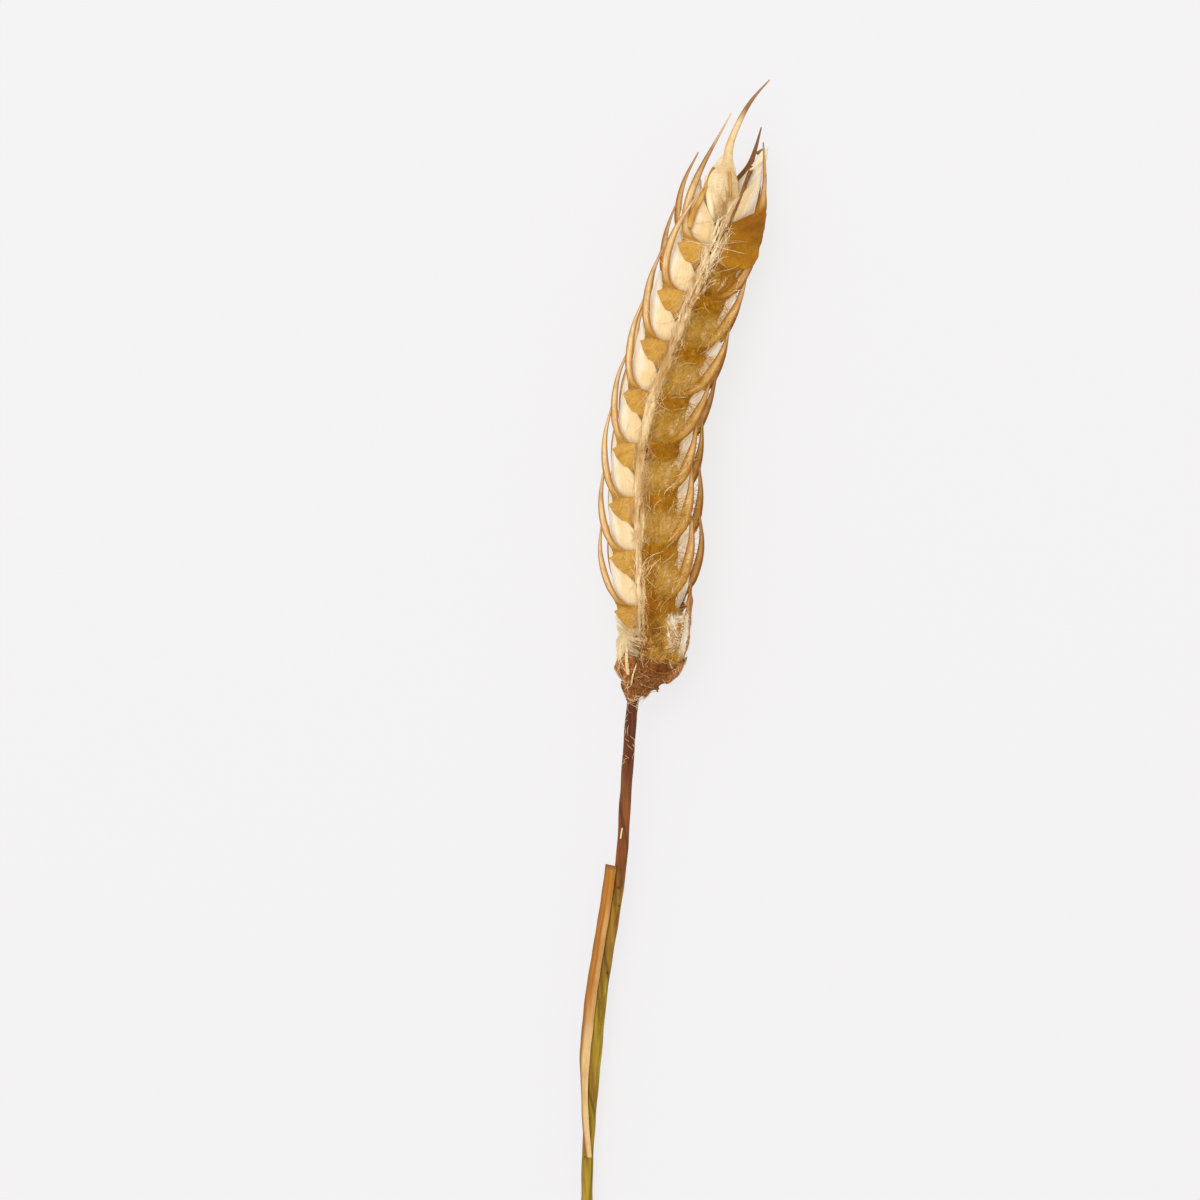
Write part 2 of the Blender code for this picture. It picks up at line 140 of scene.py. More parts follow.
TERMINAL_FLORET_SECTIONS = (
    (1, -0.2, 0.3, 0.3), (4, -0.2, 0.9, 2), (7, -0.6, 2, 2.8),
    (10, -0.9, 2.4, 3), (12.4, -1.2, 1.7, 2.2), (14.8, -1.5, 0.3, 0.3),
)
TERMINAL_FRONT_ROWS = (
    (-0.3, 2.5, 3.2, 0.4, 2.5, 3.2, 0),
    (-1.4, 4.2, 3.5, 1.05, 4.2, 3.5, 0.2),
    (-2.6, 6.5, 3.7, 1, 6.5, 3.6, 0.4),
    (-3.4, 8.6, 3.6, 0.7, 8.6, 3.5, 0.5),
    (-3.4, 10.5, 3.4, -0.1, 10.5, 3.5, 0.4),
    (-2.6, 12.4, 3.1, -1.1, 12.3, 3.3, 0.1),
    (-2.8, 15.6, 2.6, -1.9, 15.6, 2.6, 0),
    (-2.2, 20, 2.2, -1.5, 20, 2.2, 0),
    (-0.9, 24, 1.6, -0.4, 24, 1.6, 0),
    (1.3, 28, 0.8, 1.6, 28, 0.8, 0),
)
TERMINAL_BACK_ROWS = (
    (-0.4, 2.5, 3.2, 0.3, 2.5, 3.2, 0),
    (-1.4, 4.2, 3.5, 1.05, 4.2, 3.5, 0.2),
    (-2.2, 6.5, 3.7, 1.2, 6.5, 3.7, 0.4),
    (-1.4, 8.6, 3.7, 2.05, 8.6, 3.3, 0.4),
    (1.6, 10.2, 3.5, 3.1, 10.6, 3, 0.1),
    (2.9, 13.5, 1.7, 3.7, 13.5, 1.6, 0),
    (3, 17, 0.4, 3.5, 17, 0.4, 0),
    (2.8, 21, -0.6, 3.1, 21, -0.6, 0),
)

# The strand of twisted fibres between the two rows: (place, height over the rachis)
RIDGE_HEIGHT = ((9.8, 6.7), (70, 6.75), (80, 6.6), (88, 5.9))
FRONT_RIDGE_END = 83.0
BACK_RIDGE_END = 80.0
BACK_RIDGE_DEEPER = 1.0

# Each collar bract: its edges (angle from the front, lower edge's place, upper edge's place), how far
# it stands off the middle line (place, radius), how much redder than ochre it is, how dark its torn
# edge is, and the solid that it stands for
COLLAR_BRACTS = {
    "low": (
        (
            (-165, 0.4, 3.2), (-110, 1.3, 3.2), (-75, 1.9, 3.2), (-40, 0.4, 3), (-8, -0.45, 3),
            (20, -0.1, 3), (62, 1.3, 3.2), (100, 0.6, 3.2), (165, 1.4, 3.2),
        ),
        ((-0.7, 1.6), (1, 2), (2.2, 2.5), (3.4, 2.2)),
        0.8, 1, "collar_bract_low",
    ),
    "right": (
        (
            (32, 5, 5.6), (45, 4.8, 6.4), (57, 4.6, 7.4), (70, 4.5, 8.6), (90, 4.5, 9.2),
            (110, 4.3, 9.2), (130, 4, 8.6), (150, 3.8, 7.2),
        ),
        ((3.2, 3.1), (3.8, 4.2), (4.6, 5.3), (5.6, 6.1), (7.5, 6.6), (10.5, 6.1)),
        0.3, 1, "collar_bract_right",
    ),
    "left": (
        ((-188, 2.8, 6.4), (-140, 2.8, 6.8), (-100, 2.7, 6.5), (-70, 2.9, 6.3), (-36, 3, 5.8)),
        ((2.6, 2.4), (3.6, 3.6), (4.4, 4.2), (5.4, 4.1), (7.4, 3.5)),
        0.35, 1, "collar_bract_left",
    ),
    "fold": (
        ((-54, 3.4, 7.9), (-36, 2, 8.2), (-18, 1.9, 7.4), (-3, 3.2, 7.9)),
        ((1.6, 2.1), (3, 2.9), (5, 4.2), (7, 4.6), (9.4, 4.7)),
        0.15, 0.8, None,
    ),
    "middle": (
        ((2, 1.8, 13.2), (10, 1.7, 12.6), (20, 1.7, 11.4), (32, 1.8, 9.8), (46, 2.2, 7.8), (60, 2.6, 5.6)),
        ((1.6, 2), (3, 3), (5, 4.7), (7, 5.4), (9, 5.6), (12, 5.5)),
        0.9, 0.4, None,
    ),
    "tooth": (
        ((30, 4, 6.4), (44, 3.7, 6), (58, 3.3, 5), (70, 3, 3.5)),
        ((3, 4.5), (4, 4.2), (5.2, 3.4), (6, 3)),
        0.8, 1, None,
    ),
    "rim": (
        ((59, 6.6, 8.8), (67, 5.8, 13.8), (77, 5.2, 18), (92, 5.2, 19.8), (118, 5.4, 13)),
        ((4, 5.1), (7, 6.1), (10, 6.6), (14, 6.7), (19.5, 6.6)),
        -0.05, 0.25, None,
    ),
}

# Woolly tufts at the foot of the rows: (right, along, front) of the middle, and of the half sizes
TUFTS = {
    "right": ((3.5, 10.8, 0.4), (2.9, 6.1, 4.4)),
    "left": ((-2.5, 9.4, 0.6), (2.3, 4.4, 4)),
}

# The leaf strip: (place from the cut end, sideways, up, width, tilt)
LEAF_ROWS = (
    (18.2, 0.45, 1.65, 0.5, -15), (24.3, -0.6, 1.6, 1, 20), (29.6, -1.3, 1.25, 1.3, 34),
    (34.9, -1.9, 0.8, 1.6, 15), (41.8, -1.85, 0.8, 1.8, 12), (54, -1.75, 0.85, 1.8, 16),
    (68.8, -1.7, 0.9, 1.85, 19),
)

# The camera looks down on the ear from its right
CAMERA_TARGET = (-12.05, 13.0, 7.1)
CAMERA_TILT = 13.0
CAMERA_DISTANCE = 595.0
CAMERA_LENS = 105.0
SENSOR_WIDTH = 36.0

# Light and floor
SKY_COLOUR = (1.0, 0.995, 0.99, 1.0)
SKY_STRENGTH = 1.0
LAMP_PLACE = (-60.0, 255.0, 690.0)
LAMP_SIZE = 600.0
LAMP_POWER = 2.1
FLOOR_SIZE = 6000.0
FLOOR_COLOUR = (0.12, 0.12, 0.12, 1.0)
FLOOR_GLOW = 0.75
FLOOR_GLOW_COLOUR = (1.0, 0.985, 0.99, 1.0)

# How finely the pieces are made
HUSK_COLUMNS = 9
HUSK_STEPS = 44
# Most of a husk's steps lie round its tooth and its rim: (share of the steps, share of the rows)
HUSK_STEP_PLACES = ((0.0, 0.0), (0.12, 0.2), (0.6, 0.65), (1.0, 1.0))
HUSK_THICKNESS = 0.16
TOOTH_ROW = 3.1
TOOTH_HALF_WIDTH = 0.42
TOOTH_REACH = 0.55
TOOTH_LIFT = 0.15
# How far a husk's belly bulges out and sinks over its floret, and how far its inner edge reaches in
BELLY = 0.95
BELLY_LOWER = 0.3
INNER_REACH = 0.75
RAGGED_EDGE = 0.05
RAGGED_RIM = 0.06
AWN_FOLD = 0.3
AWN_POINT_NARROWER = 0.55
# Each husk has its own sway of the tip, longer or shorter awn, and size of tooth: least and most
HUSK_VARIETY = ((-0.3, -0.9, 0.7), (0.3, 0.5, 1.3))
# Between which shares of its rows a husk turns into its awn
AWN_SPAN = (0.53, 0.7)
BROAD_HUSK_AWN_SPAN = (0.68, 0.82)
BROAD_HUSK_BROWNER = 0.25
LOW_HUSKS_BROWNER = 0.3
TIP_HUSK_WIDER = 0.4
# How large the teeth are and how much wider the awns get, in each row
ROW_TEETH = {"left": 0.7, "right": 0.5}
ROW_AWNS = {"left": 0.4, "right": 0.75}
TERMINAL_AWNS = 0.6
RIB_COUNT = 5
RIB_HEIGHT = 0.06
WRINKLE_HEIGHT = 0.05
FLORET_ANGLES = 44
FLORET_STEPS = 30
PLEATS = 15
PLEAT_DEPTH = 0.12
TERMINAL_PLEAT_SHARE = 0.02
SKIN_SLOPE = 1.3
# A ball's vertices this near its ends are its poles: share of its length
POLE = 1e-4

# How brown and how bleached an awn is from its foot to its tip: (share of the rows, brown, pale)
AWN_SHADES = {
    "usual": ((0, 0, 0), (0.6, 0, 0), (0.8, 0.05, 0.3), (1, 0.2, 0.45)),
    "terminal_front_glume": (
        (0, 0, 0.3), (0.5, 0.1, 0), (0.62, 0, 0.5), (0.76, 0, 0.9), (0.84, 0.9, 0),
        (1, 0.8, 0),
    ),
    "terminal_back_glume": ((0, 0, 0.3), (0.5, 0, 0), (0.62, 0.85, 0), (1, 0.9, 0)),
    "left_front_glume_8": (
        (0, 0, 0), (0.6, 0, 0.5), (0.78, 0.2, 0.5), (0.88, 0.75, 0), (0.95, 0.25, 0.5),
        (1, 0.1, 0.8),
    ),
    "right_front_glume_8": ((0, 0, 0), (0.6, 0.1, 0), (0.75, 0, 0.5), (1, 0, 0.6)),
}

rng = np.random.default_rng(7)


def ease(value, low, high):
    """0 at the low value, 1 at the high one, and smooth between."""
    f = np.clip((value - low) / (high - low), 0.0, 1.0)
    return f * f * (3 - 2 * f)


def read_table(table, place, column=1):
    """The values in a column at some places, on a smooth curve through the table's rows."""
    rows = np.array(table)
    places, values = rows[:, 0], rows[:, column]
    slopes = np.gradient(values, places)
    i = np.clip(np.searchsorted(places, place) - 1, 0, len(places) - 2)
    step = places[i + 1] - places[i]
    f = np.clip((place - places[i]) / step, 0.0, 1.0)
    rise = f * f * (3 - 2 * f)
    bend = f * (1 - f) * step * ((1 - f) * slopes[i] - f * slopes[i + 1])
    return values[i] + rise * (values[i + 1] - values[i]) + bend


def read_columns(table, place):
    """All the columns of a table at some places."""
    return [read_table(table, place, column) for column in range(1, len(table[0]))]


def places_in(table, share):
    """Places at some shares of the way from a table's first to its last."""
    return table[0][0] + share * (table[-1][0] - table[0][0])


def smooth_route(points):
    """Close points on a Catmull-Rom curve through the route's points."""
    knots = [2 * points[0] - points[1], *points, 2 * points[-1] - points[-2]]
    curve = []
    for i in range(1, len(knots) - 2):
        a, b, c, d = knots[i - 1 : i + 3]
        for f in np.arange(ROUTE_STEPS) / ROUTE_STEPS:
            bend = (2 * a - 5 * b + 4 * c - d) * f**2 + (3 * b - a - 3 * c + d) * f**3
            curve.append(0.5 * (2 * b + (c - a) * f + bend))
    curve.append(points[-1])
    return np.array(curve)


ROUTE = smooth_route(np.array(STEM_AND_EAR_ROUTE))
DISTANCES = np.concatenate(([0.0], np.cumsum(np.linalg.norm(np.diff(ROUTE, axis=0), axis=1))))
HEADINGS = np.gradient(ROUTE, DISTANCES, axis=0)
COLLAR_DISTANCE = DISTANCES[COLLAR_POINT * ROUTE_STEPS]


def unit(vectors):
    return vectors / np.linalg.norm(vectors, axis=-1, keepdims=True)


def route_frames(distance):
    """Points of the middle line, and the directions to the right and to the front there."""
    centre = np.stack([np.interp(distance, DISTANCES, ROUTE[:, k]) for k in range(3)], axis=-1)
    heading = unit(np.stack([np.interp(distance, DISTANCES, HEADINGS[:, k]) for k in range(3)], axis=-1))
    right = unit(np.cross(heading, (0.0, 0.0, 1.0)))
    return centre, right, np.cross(right, heading)


def ear_points(along, right, front):
    """Points of the ear in metres, from real distances to its middle line."""
    along, right, front = np.broadcast_arrays(along, right, front)
    centre, right_axis, front_axis = route_frames(COLLAR_DISTANCE + along)
    twist = np.radians(read_table(EAR_TWIST, along))[..., None]
    turned_right = right_axis * np.cos(twist) - front_axis * np.sin(twist)
    turned_front = front_axis * np.cos(twist) + right_axis * np.sin(twist)
    return MM * (centre + right[..., None] * turned_right + front[..., None] * turned_front)


def row_points(along, right, front):
    """Points of a row's piece, whose sizes are those of the ear at its widest."""
    girth = read_table(EAR_GIRTH, along)
    return ear_points(along, right * girth, front * girth)


def stem_points(distance, sideways, up):
    centre, right, front = route_frames(distance)
    return MM * (centre + sideways[..., None] * right + up[..., None] * front)


def drawn_out(node, along, share):
    """How far along a row's piece a point lies, and how far it leans in and rises there."""
    body, awn, lean, rise = DRAWN_OUT.get(node, (1.0, 1.0, 0.0, 0.0))
    along = body * np.minimum(along, AWN_START) + awn * np.maximum(along - AWN_START, 0.0)
    late = np.maximum(0.0, (share - 0.7) / 0.3)
    return along, lean * late**2, rise * late


def spread(*columns):
    """Numbers or arrays side by side, as one row of three for each point."""
    return np.stack(np.broadcast_arrays(*columns), axis=-1)


# Meshes


def finished_mesh(name, bm, marks):
    """A smooth mesh that carries each mark as three numbers a vertex."""
    mesh = bpy.data.meshes.new(name)
    bm.to_mesh(mesh)
    bm.free()
    mesh.shade_smooth()
    for mark, values in marks.items():
        attribute = mesh.attributes.new(mark, "FLOAT_VECTOR", "POINT")
        attribute.data.foreach_set("vector", values.astype(np.float32).ravel())
    return mesh


def shaped_mesh(name, bm, place, shares, turn_over):
    """A mesh whose vertices go where place says, with the marks that it gives them."""
    points, marks = place(*shares)
    for vertex, point in zip(bm.verts, points):
        vertex.co = point
    if turn_over:
        bmesh.ops.reverse_faces(bm, faces=bm.faces[:])
    return finished_mesh(name, bm, marks)


def shaped_sheet(name, columns, rows, place, turn_over=False):
    """A grid shaped from its shares across and along."""
    bm = bmesh.new()
    bmesh.ops.create_grid(bm, x_segments=columns, y_segments=rows, size=0.5)
    shares = np.array([vertex.co for vertex in bm.verts]) + 0.5
    return shaped_mesh(name, bm, place, (shares[:, 0], shares[:, 1]), turn_over)


def shaped_ball(name, around, along, place, turn_over=True):
    """A closed ball shaped from its share along and its angle."""
    bm = bmesh.new()
    bmesh.ops.create_uvsphere(bm, u_segments=around, v_segments=along, radius=1.0)
    at = np.array([vertex.co for vertex in bm.verts])
    share = 1.0 - np.arccos(np.clip(at[:, 2], -1.0, 1.0)) / math.pi
    return shaped_mesh(name, bm, place, (share, np.arctan2(at[:, 1], at[:, 0])), turn_over)


def add_object(name, data):
    thing = bpy.data.objects.new(name, data)
    bpy.context.scene.collection.objects.link(thing)
    return thing


def add_piece(name, data, finish, stands_for=None, thickness=0.0, subdivide=1):
    """A finished piece on the part's one body."""
    data.materials.append(finish)
    piece = add_object(name, data)
    if thickness:
        solidify = piece.modifiers.new("thickness", "SOLIDIFY")
        solidify.thickness = thickness * MM
        solidify.offset = -1.0
    if subdivide:
        subsurf = piece.modifiers.new("smooth", "SUBSURF")
        subsurf.levels = subsurf.render_levels = subdivide
    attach(piece, "root")
    if stands_for:
        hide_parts(stands_for)
    return piece


# Finishes


class Finish:
    """A material, to which each call adds one step of its pattern."""

    def __init__(self, name, roughness, specular):
        self.material = bpy.data.materials.new(name)
        self.material.use_nodes = True
        self.tree = self.material.node_tree
        self.shader = self.tree.nodes["Principled BSDF"]
        self.shader.inputs["Roughness"].default_value = roughness
        self.shader.inputs["Specular IOR Level"].default_value = specular

    def step(self, kind, values, **settings):
        node = self.tree.nodes.new(kind)
        for setting, value in settings.items():
            setattr(node, setting, value)
        for socket, value in values.items():
            self.feed(node.inputs[socket], value)
        return node

    def feed(self, socket, value):
        if isinstance(value, bpy.types.NodeSocket):
            self.tree.links.new(value, socket)
        else:
            socket.default_value = value

    def place(self):
        """Object coordinates, in metres."""
        return self.step("ShaderNodeTexCoord", {}).outputs["Object"]

    def mark(self, name):
        return self.step("ShaderNodeAttribute", {}, attribute_name=name).outputs["Vector"]

    def parts(self, vector):
        return self.step("ShaderNodeSeparateXYZ", {0: vector}).outputs[:]

    def noise(self, place, scale, detail=3.0, roughness=0.6, distortion=0.0):
        """Noise with this many features a unit of length in each direction."""
        scaled = self.step("ShaderNodeMapping", {"Vector": place, "Scale": scale}).outputs[0]
        values = {"Vector": scaled, "Scale": 1.0, "Detail": detail, "Roughness": roughness}
        values["Distortion"] = distortion
        return self.step("ShaderNodeTexNoise", values).outputs["Fac"]

    def ramp(self, value, low, high, to_low=0.0, to_high=1.0):
        values = {0: value, 1: low, 2: high, 3: to_low, 4: to_high}
        return self.step("ShaderNodeMapRange", values, clamp=True).outputs[0]

    def maths(self, operation, a, b):
        return self.step("ShaderNodeMath", {0: a, 1: b}, operation=operation).outputs[0]

    def plus(self, a, b):
        return self.maths("ADD", a, b)

    def times(self, a, b):
        return self.maths("MULTIPLY", a, b)

    def clamped(self, value):
        return self.step("ShaderNodeClamp", {0: value}).outputs[0]

    def mix(self, share, a, b):
        """Colour a where the share is 0, and colour b where it is 1."""
        node = self.step("ShaderNodeMix", {}, data_type="RGBA")
        self.feed(node.inputs[0], share)
        for socket, colour in ((node.inputs[6], a), (node.inputs[7], b)):
            self.feed(socket, colour if isinstance(colour, bpy.types.NodeSocket) else (*colour, 1.0))
        return node.outputs[2]

    def blend(self, a, b, value, low, high, share=1.0):
        """Colour a up to the low value, and from the high one on this share of colour b over it."""
        return self.mix(self.ramp(value, low, high, 0.0, share), a, b)

    def bump(self, height, depth):
        """Relief that is this many millimetres deep."""
        values = {"Height": height, "Strength": 1.0, "Distance": depth * MM}
        self.feed(self.shader.inputs["Normal"], self.step("ShaderNodeBump", values).outputs[0])

    def done(self, colour):
        self.feed(self.shader.inputs["Base Color"], colour)
        return self.material


def husk_finish(name, light, deep, brown, awn_middle, awn_edge, tip):
    """Dry straw: fine ribs along the husk, brown blotches, and an awn with a pale fold and brown edges."""
    finish = Finish(name, roughness=0.7, specular=0.1)
    lie = finish.mark("lie")
    awn, edge, tone = finish.parts(finish.mark("look"))
    browned, bleached, rim = finish.parts(finish.mark("shade"))
    ribs = finish.noise(lie, (5.5, 0.3, 1.0), detail=4.0)
    wrinkles = finish.noise(lie, (1.3, 4.0, 1.0), detail=4.0, roughness=0.65, distortion=1.2)
    blotch = finish.noise(lie, (0.45, 0.45, 1.0), detail=4.0, roughness=0.65)
    body = finish.blend(deep, light, ribs, 0.32, 0.68)
    body = finish.blend(body, brown, wrinkles, 0.48, 0.72, 0.6)
    dark = finish.plus(finish.ramp(blotch, 0.45, 0.68, 0.0, 0.6), tone)
    dark = finish.plus(dark, finish.ramp(rim, 0.0, 1.0, 0.0, 0.45))
    body = finish.mix(finish.clamped(dark), body, brown)
    fold = finish.blend(awn_middle, awn_edge, edge, 0.25, 0.7)
    fold = finish.blend(fold, awn_edge, ribs, 0.42, 0.6, 0.7)
    fold = finish.mix(bleached, fold, awn_middle)
    fold = finish.blend(fold, brown, edge, 0.4, 0.9, 0.8)
    fold = finish.blend(fold, brown, blotch, 0.5, 0.72, 0.5)
    finish.bump(finish.plus(ribs, finish.times(wrinkles, 0.9)), 0.14)
    return finish.done(finish.mix(browned, finish.mix(awn, body, fold), tip))


def floret_finish(name, bright, warm, felt, deep_felt, felt_share, sparkle, glow):
    """Papery chaff with fine lengthwise streaks, warmer at its edges, and felted in places. The warmer
    tint is partly the chaff's own and partly painted shade near the ridge, at its foot under the
    husk rim and in its pleat valleys.

    Its thin outer side has a faint painted glow, an emission that stands in for light let through it."""
    finish = Finish(name, roughness=0.65, specular=0.12)
    lie = finish.mark("lie")
    warm_tint_and_shade, felted, outer = finish.parts(finish.mark("look"))
    streak = finish.noise(lie, (3.2, 0.12, 1.0), detail=4.0, roughness=0.7)
    patch = finish.noise(lie, (0.5, 0.35, 1.0), detail=4.0, distortion=0.6)
    tangle = finish.noise(lie, (3.0, 2.2, 1.0), detail=7.0, roughness=0.75, distortion=1.0)
    shade = finish.plus(warm_tint_and_shade, finish.ramp(streak, 0.45, 0.65, -0.15, 0.45))
    shade = finish.plus(shade, finish.ramp(patch, 0.42, 0.65, 0.0, 0.4))
    papery = finish.mix(finish.clamped(shade), bright, warm)
    hairs = finish.blend(deep_felt, felt, tangle, 0.4, 0.62)
    hairs = finish.blend(hairs, deep_felt, patch, 0.4, 0.65, 0.6)
    banded = finish.parts(finish.mark("shade"))[0]
    band = finish.blend((0.34, 0.12, 0.004), (0.56, 0.25, 0.016), tangle, 0.4, 0.62)
    hairs = finish.mix(banded, hairs, band)
    bare = finish.times(outer, finish.ramp(patch, 0.35, 0.6, 1.0, 0.35))
    cover = finish.times(felted, finish.ramp(bare, 0.0, 1.0, 1.0, 0.15))
    body = finish.mix(finish.times(cover, felt_share), papery, hairs)
    glint = finish.times(finish.ramp(tangle, 0.5, 0.58), finish.ramp(patch, 0.48, 0.6))
    glint = finish.times(finish.times(glint, outer), sparkle)
    finish.bump(finish.plus(streak, finish.times(tangle, 0.6)), 0.2)
    # painted glow: the outer side emits faint warm light, standing in for light let through the chaff
    lit = finish.mix(outer, (0.0, 0.0, 0.0), (1.0, 0.9, 0.74))
    for socket, value in (
        ("Subsurface Weight", 0.5),
        ("Subsurface Scale", 0.6 * MM),
        ("Subsurface Radius", (1.0, 0.95, 0.85)),
        ("Emission Color", lit),
        ("Emission Strength", glow),
    ):
        finish.feed(finish.shader.inputs[socket], value)
    return finish.done(finish.mix(glint, body, (0.98, 0.95, 0.88)))


def fibre_finish(name, pale, tan):
    """Loose plant fibre: pale, with tan streaks and patches."""
    finish = Finish(name, roughness=0.7, specular=0.06)
    place = finish.place()
    patch = finish.noise(place, (260.0, 120.0, 260.0))
    streak = finish.noise(place, (1900.0, 130.0, 1900.0))
    finish.bump(streak, 0.05)
    body = finish.blend(pale, tan, patch, 0.4, 0.65)
    return finish.done(finish.blend(body, tan, streak, 0.48, 0.62, 0.85))


def stem_finish():
    """Stem tape: red-brown near the ear and olive green below, with wrap lines and dark nicks."""
    finish = Finish("wrapped_stem_tape", roughness=0.55, specular=0.15)
    place = finish.place()
    seam, painted_seam_light, cut_face = finish.parts(finish.mark("look"))
    down = finish.parts(place)[1]
    streak = finish.noise(place, (1400.0, 60.0, 1400.0), detail=4.0)
    mottle = finish.noise(place, (420.0, 160.0, 420.0), detail=4.0)
    nick = finish.noise(place, (900.0, 520.0, 900.0), detail=2.0)
    wander = finish.times(finish.maths("SUBTRACT", mottle, 0.5), 0.04)
    to_green = finish.ramp(finish.plus(down, wander), -0.026, -0.058)
    brown = finish.blend((0.07, 0.016, 0.006), (0.28, 0.075, 0.014), streak, 0.3, 0.7)
    green = finish.blend((0.18, 0.105, 0.006), (0.41, 0.27, 0.018), streak, 0.36, 0.64)
    brown = finish.blend(brown, (0.05, 0.014, 0.007), down, -0.026, -0.012, 0.45)
    body = finish.mix(to_green, brown, green)
    body = finish.blend(body, (0.30, 0.11, 0.02), mottle, 0.55, 0.8, 0.45)
    # painted light: the tape is lighter on one side of each wrap line, where its raised edge would catch
    # light
    body = finish.blend(body, (0.36, 0.17, 0.04), painted_seam_light, 0.2, 1.0, 0.2)
    body = finish.blend(body, (0.07, 0.024, 0.008), seam, 0.94, 0.99, 0.6)
    body = finish.blend(body, (0.04, 0.015, 0.01), nick, 0.67, 0.74, 0.85)
    finish.bump(finish.maths("SUBTRACT", streak, finish.ramp(seam, 0.95, 0.99, 0.0, 0.8)), 0.06)
    return finish.done(finish.mix(cut_face, body, (0.6, 0.45, 0.2)))


def leaf_finish():
    """Golden dry leaf with parallel veins, bleached stretches and a brown upper end.

    Along its side by the stem it has a painted highlight, a pale strip.
    """
    finish = Finish("golden_leaf_blade", roughness=0.55, specular=0.15)
    lie = finish.mark("lie")
    edge, brown_end, bleached = finish.parts(finish.mark("look"))
    veins = finish.noise(lie, (2.6, 0.09, 1.0), detail=4.0)
    blotch = finish.noise(lie, (0.6, 0.16, 1.0), detail=4.0)
    body = finish.blend((0.32, 0.105, 0.010), (0.48, 0.20, 0.028), veins, 0.35, 0.65)
    # bleached low down, and a painted highlight in a pale strip along the side by the stem
    body = finish.blend(body, (0.74, 0.52, 0.24), bleached, 0.0, 1.0, 0.8)
    body = finish.blend(body, (0.30, 0.10, 0.018), blotch, 0.45, 0.75, 0.55)
    body = finish.blend(body, (0.24, 0.08, 0.014), edge, 0.55, 1.0, 0.75)
    finish.bump(veins, 0.06)
    return finish.done(finish.mix(brown_end, body, (0.22, 0.08, 0.02)))


def bract_finish():
    """Torn red-brown bract, ochre inside its folds and dark on its torn rim."""
    finish = Finish("torn_bract", roughness=0.65, specular=0.12)
    lie = finish.mark("lie")
    edge, edge_darkness, red = finish.parts(finish.mark("look"))
    streak = finish.noise(lie, (3.2, 0.45, 1.0), detail=5.0, roughness=0.65)
    blotch = finish.noise(lie, (0.6, 0.5, 1.0), detail=4.0, distortion=0.8)
    orange = finish.blend((0.25, 0.065, 0.008), (0.62, 0.27, 0.07), streak, 0.35, 0.65)
    dark = finish.blend((0.055, 0.013, 0.005), (0.34, 0.11, 0.03), streak, 0.38, 0.62)
    shift = finish.plus(red, finish.ramp(blotch, 0.35, 0.7, -0.35, 0.35))
    body = finish.mix(finish.clamped(shift), orange, dark)
    torn = finish.times(finish.ramp(edge, 0.84, 1.0, 0.0, 0.75), edge_darkness)
    finish.bump(streak, 0.18)
    return finish.done(finish.mix(torn, body, (0.09, 0.024, 0.008)))


# Camera, light and floor


def add_camera():
    data = bpy.data.cameras.new("camera")
    data.lens = CAMERA_LENS
    data.sensor_width = SENSOR_WIDTH
    camera = add_object("camera", data)
    tilt = math.radians(CAMERA_TILT)
    x, y, z = CAMERA_TARGET
    reach = (x + CAMERA_DISTANCE * math.sin(tilt), y, z + CAMERA_DISTANCE * math.cos(tilt))
    camera.location = [MM * value for value in reach]
    camera.rotation_euler = (0.0, tilt, 0.0)
    bpy.context.scene.camera = camera


def add_light():
    scene = bpy.context.scene
    scene.view_settings.view_transform = "Standard"
    world = bpy.data.worlds.new("soft_white_room")
    world.use_nodes = True
    sky = world.node_tree.nodes["Background"]
    sky.inputs["Color"].default_value = SKY_COLOUR
    sky.inputs["Strength"].default_value = SKY_STRENGTH
    scene.world = world
    data = bpy.data.lights.new("window", "AREA")
    data.size = LAMP_SIZE * MM
    data.energy = LAMP_POWER
    lamp = add_object("window", data)
    lamp.location = [MM * value for value in LAMP_PLACE]
    lamp.rotation_euler = lamp.location.to_track_quat("Z", "Y").to_euler()


def add_floor():
    bm = bmesh.new()
    bmesh.ops.create_grid(bm, x_segments=1, y_segments=1, size=FLOOR_SIZE * MM / 2)
    mesh = finished_mesh("pale_floor", bm, {})
    finish = Finish("pale_floor", roughness=0.95, specular=0.1)
    finish.feed(finish.shader.inputs["Emission Color"], FLOOR_GLOW_COLOUR)
    finish.feed(finish.shader.inputs["Emission Strength"], FLOOR_GLOW)
    mesh.materials.append(finish.done(FLOOR_COLOUR))
    floor = add_object("pale_floor", mesh)


# Husks and florets


